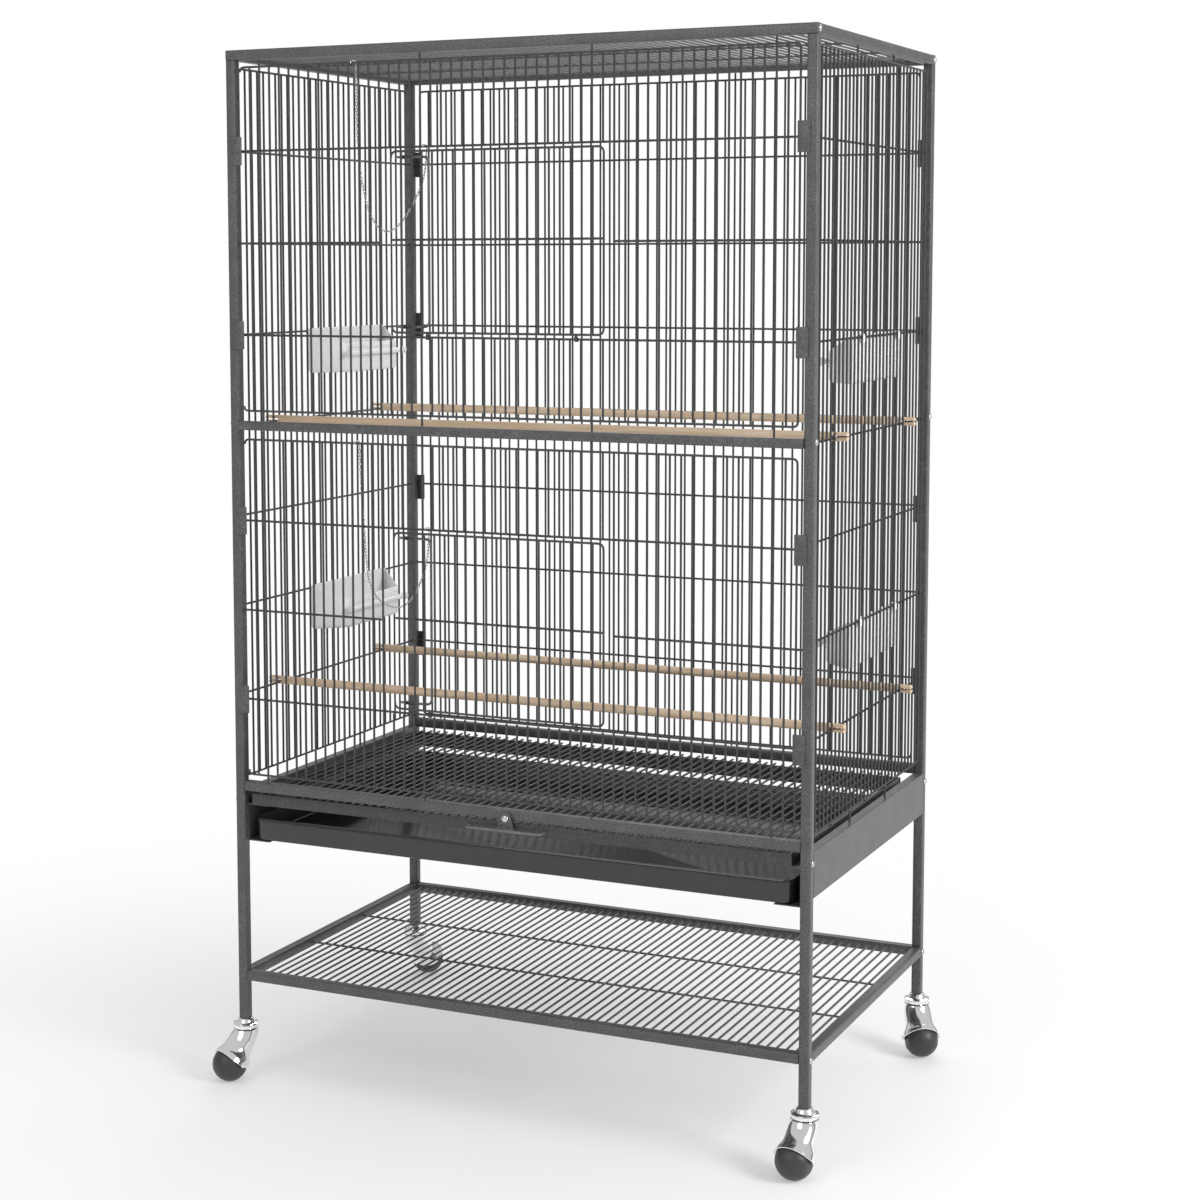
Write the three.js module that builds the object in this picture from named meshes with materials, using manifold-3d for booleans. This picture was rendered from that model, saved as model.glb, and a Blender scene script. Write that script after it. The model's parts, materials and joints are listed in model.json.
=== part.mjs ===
// Bird flight cage on a rolling stand: a bolted steel tube frame with wire panels, two drop-down
// front doors, a slide-out grate and tray, a wire shelf, perches, feeders and four swivel casters.
// Millimetres, +Z up, +X to the right of the doors, +Y to the back. The origin is on the floor,
// under the middle of the frame.
import * as THREE from 'three';
import { mergeVertices } from 'three/addons/utils/BufferGeometryUtils.js';
import Module from 'manifold-3d';

const wasm = await Module();
wasm.setup();

// Frame
const WIDTH = 790;
const DEPTH = 490;
const HEIGHT = 1346;
const TUBE = 13;
const TUBE_WALL = 1.2;
const GAP = 0.3;
const POST_BOTTOM = 80;
const HALF_W = WIDTH / 2;
const HALF_D = DEPTH / 2;
const INNER_W = HALF_W - TUBE;
const INNER_D = HALF_D - TUBE;
const TOP_RAIL_Z = HEIGHT - TUBE;

// Wire: two layers, verticals outside and horizontals inside, a hair apart
const WIRE = 1.2; // half the wire's thickness
const LAYER = 2 * WIRE + GAP;
const PLANE_INSET = WIRE + GAP; // outer layer's centre, in from the posts' outer faces, front and back
const SIDE_INSET = TUBE / 2; // the side panels stand in the middle of the posts
const FRONT_PITCH = 14.4;
const FRONT_END = 26 * FRONT_PITCH;
const SIDE_PITCH = 15;
const SIDE_COUNT = 14; // wires on each side of the middle one
const SIDE_END = 225;
const GRID_PITCH = 12.4;
const GRID_END = 30 * GRID_PITCH;
const GRID_CROSS_Y = 72;

// Heights of the panels' horizontal wires
const WIRE_TOP = 1323.7;
const WIRE_2ND = 1218.2;
const WIRE_3RD = 1101;
const WIRE_4TH = 983.7;
const PERCH_WIRE_Z = 866.5;
const FRONT_UPPER_BOTTOM = 886.4;
const LOWER_DROP = 474.4; // the lower front panel repeats the upper one this far down
const FRONT_LOWER_BOTTOM = 410.2;
const LOW_PERCH_WIRE_Z = 515;
const SIDE_LEVELS = [WIRE_2ND, WIRE_3RD, WIRE_4TH, PERCH_WIRE_Z, 749.5, 632, LOW_PERCH_WIRE_Z];
const FEEDER_LEVELS = { upper: WIRE_4TH, lower: 632 };
const CLOSED_BOTTOM = 403.5;

// Rails
const MID_RAIL = { z0: 861.5, z1: 873, proud: 4, depth: 12 };
const BASE_RAIL_Z = 387;
const BACK_RAIL_Z = 384.5;
const BACK_STRAP = { z0: 354, z1: 366, sheet: 3 };
const BASE_SIDE = { z0: 331, z1: 386, sheet: 1.5 };
const SHELF_Z = 132;

// Doors
const DOOR_BARS = 20;
const DOOR_LEFT = -156.6;
const DOOR_PITCH = 14.36;
const DOOR_RIGHT = DOOR_LEFT + DOOR_BARS * DOOR_PITCH;
const OPENING_LEFT = -12 * FRONT_PITCH;
const OPENING_RIGHT = 10 * FRONT_PITCH;
const DOOR_TOP = WIRE_2ND - 5.2;
const DOOR_MID = WIRE_3RD + 3.2;
const DOOR_BOTTOM = WIRE_4TH + 5.8;
const STRAP_XS = [-7.5 * FRONT_PITCH, 6.5 * FRONT_PITCH];
const LATCH_X = -107;
const LATCH_TIP_X = -153.5;
const LATCH_INSET = 7;
const LATCH_Y = 2 * LAYER + 0.4; // behind the door's two layers of wire
const LATCH_SLEEVE_X = -143.5;

// Chains
const CHAIN_R = 1.7;
const CHAIN_Y = -233;
const CHAIN_TOP_X = -211;
const CHAIN_END_X = -112;

// Tray, grate and their runners
const RUNNER = { inner: 348, outer: 381.5, z0: 320, mid: 367.8, sheet: 1.2 };
const TRAY = { halfX: 372, y0: -240, y1: 226, z0: 321.5, z1: 351, wall: 2.5 };
const GRATE = { halfX: 371, y0: -243, y1: 224, z0: 369.3, barZ: 382.6, strip: 1.5, rearY: 205, pitch: 12.5 };

const HANDLE = { half: 54, y: -257, z: 376, wire: 1.6 };
const LATCH_PLATE = { footHalf: 13, footZ: 373, headR: 8, headZ: 389.5, sheet: 1.2, y: -249.2 };
const RIVET = { head: 4.5, rise: 1.8, shank: 2.2 };

// Perches and feeders
const PERCH_R = 5.5;
const PERCH_HALF = 403;
const PERCH_Y = 9.5 * SIDE_PITCH;
const PERCH_RISE = 2.5;
const FEEDER_Y = 2.5 * SIDE_PITCH;
const FEEDER = { back: 105.5, front: 71.5, depth: 42, height: 60, frontDrop: 22, wall: 2.2 };

// Casters: corner, side, end, and the heading of the wheel's trail in degrees from +X
const WHEEL_R = 23;
const TRAIL = 27;
const HOOD_TILT = 30;
const HOOD_PAST_MIDDLE = 2.5;
const HOOD_FLOOR_GAP = 8;
const CASTERS = [
  ['front_left', -1, -1, 249],
  ['front_right', 1, -1, 262],
  ['back_left', -1, 1, 75],
  ['back_right', 1, 1, 300],
];

// Materials
function finish(color, roughness, metalness) {
  return new THREE.MeshStandardMaterial({ color, roughness, metalness });
}
const hammertone = finish(0x5c5c5e, 0.5, 0.3);
const wireCoat = finish(0x505052, 0.5, 0.3);
const blackTray = finish(0x2c2c2e, 0.35, 0);
const chrome = finish(0xd8dadc, 0.12, 1);
const zinc = finish(0xc4c6c8, 0.3, 1);
const wheelBlack = finish(0x333335, 0.5, 0);
const whitePlastic = finish(0xe4e6e8, 0.4, 0);
const birch = finish(0xd2b48c, 0.65, 0);

// Solids
function toSolid(geometry) {
  const bare = geometry.clone();
  bare.deleteAttribute('normal');
  bare.deleteAttribute('uv');
  const merged = mergeVertices(bare, 1e-4);
  return new wasm.Manifold(new wasm.Mesh({
    numProp: 3,
    vertProperties: Float32Array.from(merged.attributes.position.array),
    triVerts: Uint32Array.from(merged.index.array),
  }));
}

function toGeometry(solid) {
  const mesh = solid.getMesh();
  const geometry = new THREE.BufferGeometry();
  geometry.setAttribute('position', new THREE.BufferAttribute(mesh.vertProperties, 3));
  geometry.setIndex(new THREE.BufferAttribute(mesh.triVerts, 1));
  return geometry;
}

function join(geometries) {
  return toGeometry(wasm.Manifold.union(geometries.map(toSolid)));
}

function cut(geometry, tools) {
  return toGeometry(tools.reduce((solid, tool) => solid.subtract(toSolid(tool)), toSolid(geometry)));
}

function box(x0, x1, y0, y1, z0, z1) {
  const geometry = new THREE.BoxGeometry(x1 - x0, y1 - y0, z1 - z0);
  return geometry.translate((x0 + x1) / 2, (y0 + y1) / 2, (z0 + z1) / 2);
}

// A round bar along X, Y or Z with its middle at a point
function rod(axis, radius, length, x, y, z, sides = 12) {
  const geometry = new THREE.CylinderGeometry(radius, radius, length, sides);
  if (axis === 'x') geometry.rotateZ(Math.PI / 2);
  if (axis === 'z') geometry.rotateX(Math.PI / 2);
  return geometry.translate(x, y, z);
}

const cage = new THREE.Group();

function place(name, geometry, material, { x = 0, y = 0, z = 0, turn = 0, parent = cage } = {}) {
  const mesh = new THREE.Mesh(geometry, material);
  mesh.name = name;
  mesh.position.set(x, y, z);
  mesh.rotation.z = THREE.MathUtils.degToRad(turn);
  parent.add(mesh);
  return mesh;
}

// Posts: square tube, with the tabs that hold the front and back panels
function tubeRing(half, wall) {
  const outline = new THREE.Shape();
  outline.moveTo(-half, -half).lineTo(half, -half).lineTo(half, half).lineTo(-half, half).closePath();
  const hole = new THREE.Path();
  const inner = half - wall;
  hole.moveTo(-inner, -inner).lineTo(-inner, inner).lineTo(inner, inner).lineTo(inner, -inner).closePath();
  outline.holes.push(hole);
  return outline;
}

function post(sideX, sideY) {
  const length = TOP_RAIL_Z - GAP - POST_BOTTOM;
  const tube = new THREE.ExtrudeGeometry(
    tubeRing(TUBE / 2, TUBE_WALL),
    { depth: length, bevelEnabled: false },
  );
  tube.translate(sideX * (HALF_W - TUBE / 2), sideY * (HALF_D - TUBE / 2), POST_BOTTOM);
  const tabs = [];
  const tabReach = 10;
  const tabLap = 5;
  const tabSheet = 2;
  const tabHalf = 18;
  for (const level of [WIRE_2ND, WIRE_4TH, WIRE_2ND - LOWER_DROP, WIRE_4TH - LOWER_DROP]) {
    const xs = [sideX * (INNER_W - tabReach), sideX * (INNER_W + tabLap)].sort((a, b) => a - b);
    const ys = [sideY * (HALF_D - 0.2), sideY * (HALF_D + tabSheet)].sort((a, b) => a - b);
    tabs.push(box(...xs, ...ys, level - tabHalf, level + tabHalf));
  }
  return join([tube, ...tabs]);
}

function buildPosts() {
  for (const [sideY, yName] of [[-1, 'front'], [1, 'back']]) {
    for (const [sideX, xName] of [[-1, 'left'], [1, 'right']]) {
      place(`post_${yName}_${xName}`, post(sideX, sideY), hammertone);
    }
  }
}

// Wire panels, made as a front panel facing -Y at y = 0 and turned to their wall
function upright(u, z0, z1, thick = false) {
  return box(u - WIRE, u + WIRE, -WIRE, thick ? WIRE + LAYER : WIRE, z0, z1);
}

const levelWire = (u0, u1, z) => box(u0, u1, -WIRE, WIRE, z - WIRE, z + WIRE);
const innerWire = (u0, u1, z) => box(u0, u1, LAYER - WIRE, LAYER + WIRE, z - WIRE, z + WIRE);

function evenPositions(count, pitch) {
  return Array.from({ length: 2 * count + 1 }, (_, i) => (i - count) * pitch);
}

function closedPanel({ end, reach, positions, top, bottom, levels, pins, pinTop, pinBottom }) {
  const parts = [levelWire(-end, end, top), levelWire(-end, end, bottom)];
  parts.push(upright(-end, bottom - WIRE, top + WIRE, true), upright(end, bottom - WIRE, top + WIRE, true));
  for (const u of positions) {
    const pinned = pins.some((pin) => Math.abs(pin - u) < 1);
    parts.push(upright(u, pinned ? pinBottom : bottom, pinned ? pinTop : top));
  }
  for (const level of levels) parts.push(innerWire(-reach, reach, level));
  return join(parts);
}

function buildClosedPanels() {
  const sidePanel = closedPanel({
    end: SIDE_END,
    reach: INNER_D - GAP,
    positions: evenPositions(SIDE_COUNT, SIDE_PITCH),
    top: WIRE_TOP,
    bottom: CLOSED_BOTTOM,
    levels: SIDE_LEVELS,
    pins: [-5 * SIDE_PITCH, 5 * SIDE_PITCH],
    pinTop: TOP_RAIL_Z - GAP,
    pinBottom: BASE_SIDE.z1 + GAP,
  });
  const backPanel = closedPanel({
    end: FRONT_END,
    reach: INNER_W - GAP,
    positions: evenPositions(25, FRONT_PITCH),
    top: WIRE_TOP,
    bottom: CLOSED_BOTTOM,
    levels: SIDE_LEVELS,
    pins: [-24 * FRONT_PITCH, -8 * FRONT_PITCH, 8 * FRONT_PITCH, 24 * FRONT_PITCH],
    pinTop: TOP_RAIL_Z - GAP,
    pinBottom: BACK_RAIL_Z + TUBE + GAP,
  });
  place('side_panel_right', sidePanel, wireCoat, { x: HALF_W - SIDE_INSET, turn: 90 });
  place('side_panel_left', sidePanel.clone(), wireCoat, { x: SIDE_INSET - HALF_W, turn: -90 });
  place('back_panel', backPanel, wireCoat, { y: HALF_D - PLANE_INSET, turn: 180 });
}

// The eye that a chain hangs on: a short drop from a wire, reaching back to the chain's plane
function chainEye(x, wireZ, layer, dropTo) {
  const chainDepth = CHAIN_Y + HALF_D - PLANE_INSET;
  const half = CHAIN_R;
  const shelf = box(x - half, x + half, layer, chainDepth + half, wireZ - half, wireZ + WIRE);
  const drop = box(x - half, x + half, chainDepth - half, chainDepth + half, dropTo, wireZ + WIRE);
  return [shelf, drop];
}

function doorPanel({ drop, bottom, pinTop, pinBottom }) {
  const top = WIRE_TOP - drop;
  const second = WIRE_2ND - drop;
  const third = WIRE_3RD - drop;
  const fourth = WIRE_4TH - drop;
  const reach = INNER_W - GAP;
  const parts = [levelWire(-FRONT_END, FRONT_END, top), levelWire(-FRONT_END, FRONT_END, bottom)];
  for (let k = -26; k <= 26; k += 1) {
    const u = k * FRONT_PITCH;
    const low = Math.abs(k) === 24 || Math.abs(k) === 8 ? pinBottom : bottom - WIRE;
    const high = Math.abs(k) === 24 || Math.abs(k) === 8 ? pinTop : top + WIRE;
    const edge = Math.abs(k) === 26 || u === OPENING_LEFT || u === OPENING_RIGHT;
    if (u > OPENING_LEFT && u < OPENING_RIGHT) {
      parts.push(upright(u, second + WIRE + GAP, high));
      parts.push(upright(u, low, fourth - WIRE - GAP));
    } else {
      parts.push(upright(u, low, high, edge));
    }
  }
  parts.push(innerWire(-reach, reach, second), innerWire(-reach, reach, fourth));
  parts.push(innerWire(-reach, OPENING_LEFT, third), innerWire(OPENING_RIGHT, reach, third));
  parts.push(...chainEye(CHAIN_TOP_X, top, -WIRE, top - 5));
  parts.push(...chainEye(CHAIN_END_X, second, LAYER - WIRE, second - 7));
  return join(parts);
}

function buildFrontPanels() {
  const upper = doorPanel({
    drop: 0,
    bottom: FRONT_UPPER_BOTTOM,
    pinTop: TOP_RAIL_Z - GAP,
    pinBottom: MID_RAIL.z1 + GAP,
  });
  const lower = doorPanel({
    drop: LOWER_DROP,
    bottom: FRONT_LOWER_BOTTOM,
    pinTop: MID_RAIL.z0 - GAP,
    pinBottom: BASE_RAIL_Z + TUBE + GAP,
  });
  place('front_panel_upper', upper, wireCoat, { y: PLANE_INSET - HALF_D });
  place('front_panel_lower', lower, wireCoat, { y: PLANE_INSET - HALF_D });
}

// Doors: same wire as the panel, hung by two straps wrapped round the panel's fourth wire
function hingeStrap(x, bottomZ, axisZ) {
  const inner = WIRE * Math.SQRT2 + 0.4;
  const outer = inner + 1.2;
  const width = 10;
  const curl = rod('x', outer, width, x, LAYER, axisZ, 16);
  const web = box(x - width / 2, x + width / 2, -WIRE, WIRE + 0.6, axisZ + inner, bottomZ + 0.4);
  return cut(join([curl, web]), [rod('x', inner, width + 1, x, LAYER, axisZ, 16)]);
}

// Sleeve curled from a strip on the door's wires; the bail's leg slides in it along X
function latchSleeve(z) {
  const bore = WIRE + 0.4;
  const half = bore + 1;
  const end = LATCH_SLEEVE_X + 12;
  const y = LATCH_Y;
  const shell = box(LATCH_SLEEVE_X, end, WIRE - 0.3, y + half, z - half, z + half);
  return cut(shell, [box(LATCH_SLEEVE_X - 1, end + 1, y - bore, y + bore, z - bore, z + bore)]);
}

function door(drop) {
  const top = DOOR_TOP - drop;
  const mid = DOOR_MID - drop;
  const bottom = DOOR_BOTTOM - drop;
  const parts = [levelWire(DOOR_LEFT - WIRE, DOOR_RIGHT + WIRE, top)];
  parts.push(levelWire(DOOR_LEFT - WIRE, DOOR_RIGHT + WIRE, bottom), innerWire(DOOR_LEFT, DOOR_RIGHT, mid));
  for (let i = 0; i <= DOOR_BARS; i += 1) {
    const edge = i === 0 || i === DOOR_BARS;
    parts.push(upright(DOOR_LEFT + i * DOOR_PITCH, bottom, top, edge));
  }
  for (const x of STRAP_XS) parts.push(hingeStrap(x, bottom, WIRE_4TH - drop));
  parts.push(latchSleeve(top - LATCH_INSET), latchSleeve(bottom + LATCH_INSET));
  return join(parts);
}

// Latch: a U of wire behind the door; pushed left, its legs pass behind the panel's wire
function doorLatch(drop) {
  const legs = [DOOR_TOP - drop - LATCH_INSET, DOOR_BOTTOM - drop + LATCH_INSET];
  const depth = [LATCH_Y - WIRE, LATCH_Y + WIRE];
  const parts = legs.map((z) => box(LATCH_TIP_X, LATCH_X + WIRE, ...depth, z - WIRE, z + WIRE));
  parts.push(box(LATCH_X - WIRE, LATCH_X + WIRE, ...depth, legs[1], legs[0]));
  return join(parts);
}

function buildDoors() {
  for (const [name, drop] of [['upper', 0], ['lower', LOWER_DROP]]) {
    place(`door_${name}`, door(drop), wireCoat, { y: PLANE_INSET - HALF_D });
    place(`door_latch_${name}`, doorLatch(drop), wireCoat, { y: PLANE_INSET - HALF_D });
  }
}

// Chains: each hangs in a loop inside the front panel, from its top wire to its second wire
const CHAIN_ROUTES = {
  upper: [
    [CHAIN_TOP_X, WIRE_TOP - 5 - GAP], [-211, 1285], [-209.7, 1242], [-207.5, 1208], [-204, 1180],
    [-197, 1150], [-186, 1126], [-172, 1115.5], [-158, 1118], [-143, 1132], [-129, 1153],
    [-119, 1173], [-114, 1192], [CHAIN_END_X, WIRE_2ND - 7 - GAP],
  ],
  lower: [
    [CHAIN_TOP_X, WIRE_TOP - LOWER_DROP - 5 - GAP], [-209.5, 815], [-207.5, 775], [-205, 740],
    [-202.5, 705], [-198.5, 675], [-188, 654], [-170, 643.5], [-152, 643.5], [-136, 656],
    [-123, 680], [-115, 706], [CHAIN_END_X, WIRE_2ND - LOWER_DROP - 7 - GAP],
  ],
};

function chainRoute(name) {
  return new THREE.CatmullRomCurve3(CHAIN_ROUTES[name].map(([x, z]) => new THREE.Vector3(x, CHAIN_Y, z)));
}

function buildChains() {
  const section = new THREE.Shape();
  section.absarc(0, 0, CHAIN_R, 0, 2 * Math.PI);
  for (const name of Object.keys(CHAIN_ROUTES)) {
    const options = { steps: 34, curveSegments: 8, extrudePath: chainRoute(name) };
    const tube = new THREE.ExtrudeGeometry(section, options);
    place(`door_chain_${name}`, toGeometry(toSolid(tube)), zinc);
  }
}

// Top: a tube frame with front-to-back bars and two cross wires
function buildTop() {
  const rails = cut(
    box(-HALF_W, HALF_W, -HALF_D, HALF_D, TOP_RAIL_Z, HEIGHT),
    [box(-INNER_W, INNER_W, -INNER_D, INNER_D, TOP_RAIL_Z - 1, HEIGHT + 1)],
  );
  const barZ = TOP_RAIL_Z + TUBE / 2;
  const parts = [rails];
  for (const x of evenPositions(30, GRID_PITCH)) {
    parts.push(box(x - WIRE, x + WIRE, -INNER_D - 1, INNER_D + 1, barZ - WIRE, barZ + WIRE));
  }
  for (const y of [-GRID_CROSS_Y, GRID_CROSS_Y]) {
    const z = barZ - LAYER;
    parts.push(box(-INNER_W - 1, INNER_W + 1, y - WIRE, y + WIRE, z - WIRE, z + WIRE));
  }
  place('top_panel', join(parts), hammertone);
}

// Shelf: four rails between the posts, tied by the outer bars and the two cross wires
function buildShelf() {
  const top = SHELF_Z + TUBE;
  const parts = [];
  for (const side of [-1, 1]) {
    const ys = [side * INNER_D, side * HALF_D].sort((a, b) => a - b);
    const xs = [side * INNER_W, side * HALF_W].sort((a, b) => a - b);
    parts.push(box(GAP - INNER_W, INNER_W - GAP, ...ys, SHELF_Z, top));
    parts.push(box(...xs, GAP - INNER_D, INNER_D - GAP, SHELF_Z, top));
  }
  const barZ = SHELF_Z + 8;
  for (const x of evenPositions(30, GRID_PITCH)) {
    const low = Math.abs(x) > GRID_END - 1 ? barZ - LAYER - WIRE : barZ - WIRE;
    parts.push(box(x - WIRE, x + WIRE, -INNER_D - 1, INNER_D + 1, low, barZ + WIRE));
  }
  for (const y of [-GRID_CROSS_Y, GRID_CROSS_Y]) {
    const z = barZ - LAYER;
    parts.push(box(-INNER_W - 1, INNER_W + 1, y - WIRE, y + WIRE, z - WIRE, z + WIRE));
  }
  place('shelf', join(parts), hammertone);
}

function buildRails() {
  const reach = INNER_W - GAP;
  const midFront = -HALF_D - MID_RAIL.proud;
  const mid = box(-reach, reach, midFront, midFront + MID_RAIL.depth, MID_RAIL.z0, MID_RAIL.z1);
  place('mid_rail', mid, hammertone);
  const baseTop = BASE_RAIL_Z + TUBE;
  place('base_rail_front', box(-reach, reach, -HALF_D, -INNER_D, BASE_RAIL_Z, baseTop), hammertone);
  place('base_rail_back', box(-reach, reach, INNER_D, HALF_D, BACK_RAIL_Z, BACK_RAIL_Z + TUBE), hammertone);
  const { z0, z1, sheet } = BACK_STRAP;
  place('base_strap_back', box(-reach, reach, HALF_D - sheet, HALF_D, z0, z1), hammertone);
}

// Base sides: a folded sheet between the posts, and a channel inside it for the grate and tray
function foldedProfile(points, length) {
  const shape = new THREE.Shape(points.map(([x, z]) => new THREE.Vector2(x, z)));
  const geometry = new THREE.ExtrudeGeometry(shape, { depth: length, bevelEnabled: false });
  geometry.rotateX(Math.PI / 2).translate(0, length / 2, 0);
  return toGeometry(toSolid(geometry));
}

function buildBaseSides() {
  const { z0, z1, sheet } = BASE_SIDE;
  const out = HALF_W;
  const lip = 12;
  const plate = [
    [out - sheet, z0], [out, z0], [out, z1], [INNER_W, z1],
    [INNER_W, z1 - lip], [INNER_W + sheet, z1 - lip], [INNER_W + sheet, z1 - sheet], [out - sheet, z1 - sheet],
  ];
  const { inner, outer, z0: r0, mid, sheet: rs } = RUNNER;
  const top = mid + rs;
  const channel = [
    [inner, r0], [outer, r0], [outer, top], [inner, top],
    [inner, mid], [outer - rs, mid], [outer - rs, r0 + rs], [inner, r0 + rs],
  ];
  for (const [name, turn] of [['right', 0], ['left', 180]]) {
    place(`base_side_${name}`, foldedProfile(plate, 2 * (INNER_D - GAP)), hammertone, { turn });
    place(`tray_runner_${name}`, foldedProfile(channel, DEPTH - 12), hammertone, { turn });
  }
}

function roundedRect(x0, x1, y0, y1, r) {
  const shape = new THREE.Shape();
  shape.moveTo(x0 + r, y0).lineTo(x1 - r, y0).absarc(x1 - r, y0 + r, r, -Math.PI / 2, 0);
  shape.lineTo(x1, y1 - r).absarc(x1 - r, y1 - r, r, 0, Math.PI / 2);
  shape.lineTo(x0 + r, y1).absarc(x0 + r, y1 - r, r, Math.PI / 2, Math.PI);
  shape.lineTo(x0, y0 + r).absarc(x0 + r, y0 + r, r, Math.PI, 1.5 * Math.PI);
  return shape;
}

function buildTray() {
  const { halfX, y0, y1, z0, z1, wall } = TRAY;
  const corner = 12;
  const shell = new THREE.ExtrudeGeometry(
    roundedRect(-halfX, halfX, y0, y1, corner),
    { depth: z1 - z0, bevelEnabled: false, curveSegments: 4 },
  ).translate(0, 0, z0);
  const hollow = new THREE.ExtrudeGeometry(
    roundedRect(wall - halfX, halfX - wall, y0 + wall, y1 - wall, corner - wall),
    { depth: z1 - z0, bevelEnabled: false, curveSegments: 4 },
  ).translate(0, 0, z0 + wall);
  place('tray', cut(shell, [hollow]), blackTray);
}

// Grate: bars from a front strip back over a rear strip, with a tongue in front for the latch plate
function buildGrate() {
  const { halfX, y0, y1, z0, barZ, strip, rearY } = GRATE;
  const top = barZ + WIRE + 0.4;
  const inset = strip / 2;
  const parts = [
    box(-halfX, halfX, y0, y0 + strip, z0, top),
    box(-halfX, halfX, rearY, rearY + strip, z0, top),
    box(inset - halfX, inset + strip - halfX, y0 + inset, rearY + inset, z0 + inset, top - 0.2),
    box(halfX - inset - strip, halfX - inset, y0 + inset, rearY + inset, z0 + inset, top - 0.2),
  ];
  const tongueY = LATCH_PLATE.y + LATCH_PLATE.sheet + GAP;
  const tongue = box(-7, 7, tongueY, tongueY + 1.2, 376, 396);
  const tongueHole = rod('y', RIVET.shank + GAP, 10, 0, tongueY, LATCH_PLATE.headZ, 12);
  parts.push(cut(tongue, [tongueHole]), box(-6, 6, tongueY + 0.5, y0 + inset, 376.5, 378));
  for (const x of evenPositions(29, GRATE.pitch)) {
    parts.push(box(x - WIRE, x + WIRE, y0 + inset, y1, barZ - WIRE, barZ + WIRE));
  }
  for (const y of [-GRID_CROSS_Y, GRID_CROSS_Y]) {
    const z = barZ - LAYER;
    parts.push(box(strip - halfX, halfX - strip, y - WIRE, y + WIRE, z - WIRE, z + WIRE));
  }
  place('grate', join(parts), hammertone);
}

function latchOutline(footHalf, footZ, headR, headZ) {
  const shape = new THREE.Shape();
  shape.moveTo(-footHalf, footZ).lineTo(footHalf, footZ).lineTo(headR, headZ);
  shape.absarc(0, headZ, headR, 0, Math.PI);
  return shape;
}

function sheetAt(shape, front, sheet) {
  const plate = new THREE.ExtrudeGeometry(shape, { depth: sheet, bevelEnabled: false, curveSegments: 8 });
  return plate.rotateX(Math.PI / 2).translate(0, front + sheet, 0);
}

function buildGrateFittings() {
  const stripY = GRATE.y0;
  const front = HANDLE.y;
  const { wire, half, z } = HANDLE;
  const legY = (stripY - GAP + front) / 2;
  const leg = stripY - GAP - front;
  const handle = join([
    rod('x', wire, 2 * half, 0, front, z, 8),
    rod('y', wire, leg, -half, legY, z, 8),
    rod('y', wire, leg, half, legY, z, 8),
    new THREE.SphereGeometry(wire, 8, 6).translate(-half, front, z),
    new THREE.SphereGeometry(wire, 8, 6).translate(half, front, z),
  ]);
  place('grate_handle', handle, hammertone);

  const { footHalf, footZ, headR, headZ, sheet, y } = LATCH_PLATE;
  const hole = rod('y', RIVET.shank + GAP, 10, 0, y, headZ, 12);
  const plate = sheetAt(latchOutline(footHalf, footZ, headR, headZ), y, sheet);
  place('grate_latch_plate', cut(plate, [hole]), hammertone);

  const rivetBack = y + sheet + 0.8;
  const head = rod('y', RIVET.head, RIVET.rise, 0, y - GAP - RIVET.rise / 2, headZ, 20);
  const shankMid = (y - GAP - 0.2 + rivetBack) / 2;
  const shank = rod('y', RIVET.shank, rivetBack - y + GAP + 0.2, 0, shankMid, headZ, 12);
  place('grate_latch_rivet', join([head, shank]), zinc);
}

// Perches: dowels through both side panels, notched to sit on a horizontal wire
function perch(y, wireZ) {
  const z = wireZ + PERCH_RISE;
  const dowel = rod('x', PERCH_R, 2 * PERCH_HALF, 0, y, z, 16);
  const wireX = HALF_W - SIDE_INSET - LAYER;
  const half = WIRE + 0.5;
  const notches = [-wireX, wireX].map(
    (x) => box(x - half, x + half, y - PERCH_R - 1, y + PERCH_R + 1, z - PERCH_R - 1, wireZ + WIRE + GAP),
  );
  return cut(dowel, notches);
}

function buildPerches() {
  for (const [yName, y] of [['front', -PERCH_Y], ['back', PERCH_Y]]) {
    place(`perch_upper_${yName}`, perch(y, PERCH_WIRE_Z), birch);
    place(`perch_lower_${yName}`, perch(y, LOW_PERCH_WIRE_Z), birch);
  }
}

// Feeder: a cup with slanting ends, a lower front, a landing rod and two hooks over the wire.
// Made with the panel's inner wire at x = 0, z = 0 and the cup reaching in along +X.
function feederPlan(inset) {
  const { back, front, depth } = FEEDER;
  const x0 = WIRE + 0.4 + inset;
  const x1 = x0 + depth - 2 * inset;
  const shape = new THREE.Shape();
  shape.moveTo(x0, inset - back).lineTo(x1, inset - front).lineTo(x1, front - inset).lineTo(x0, back - inset);
  return shape;
}

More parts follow.
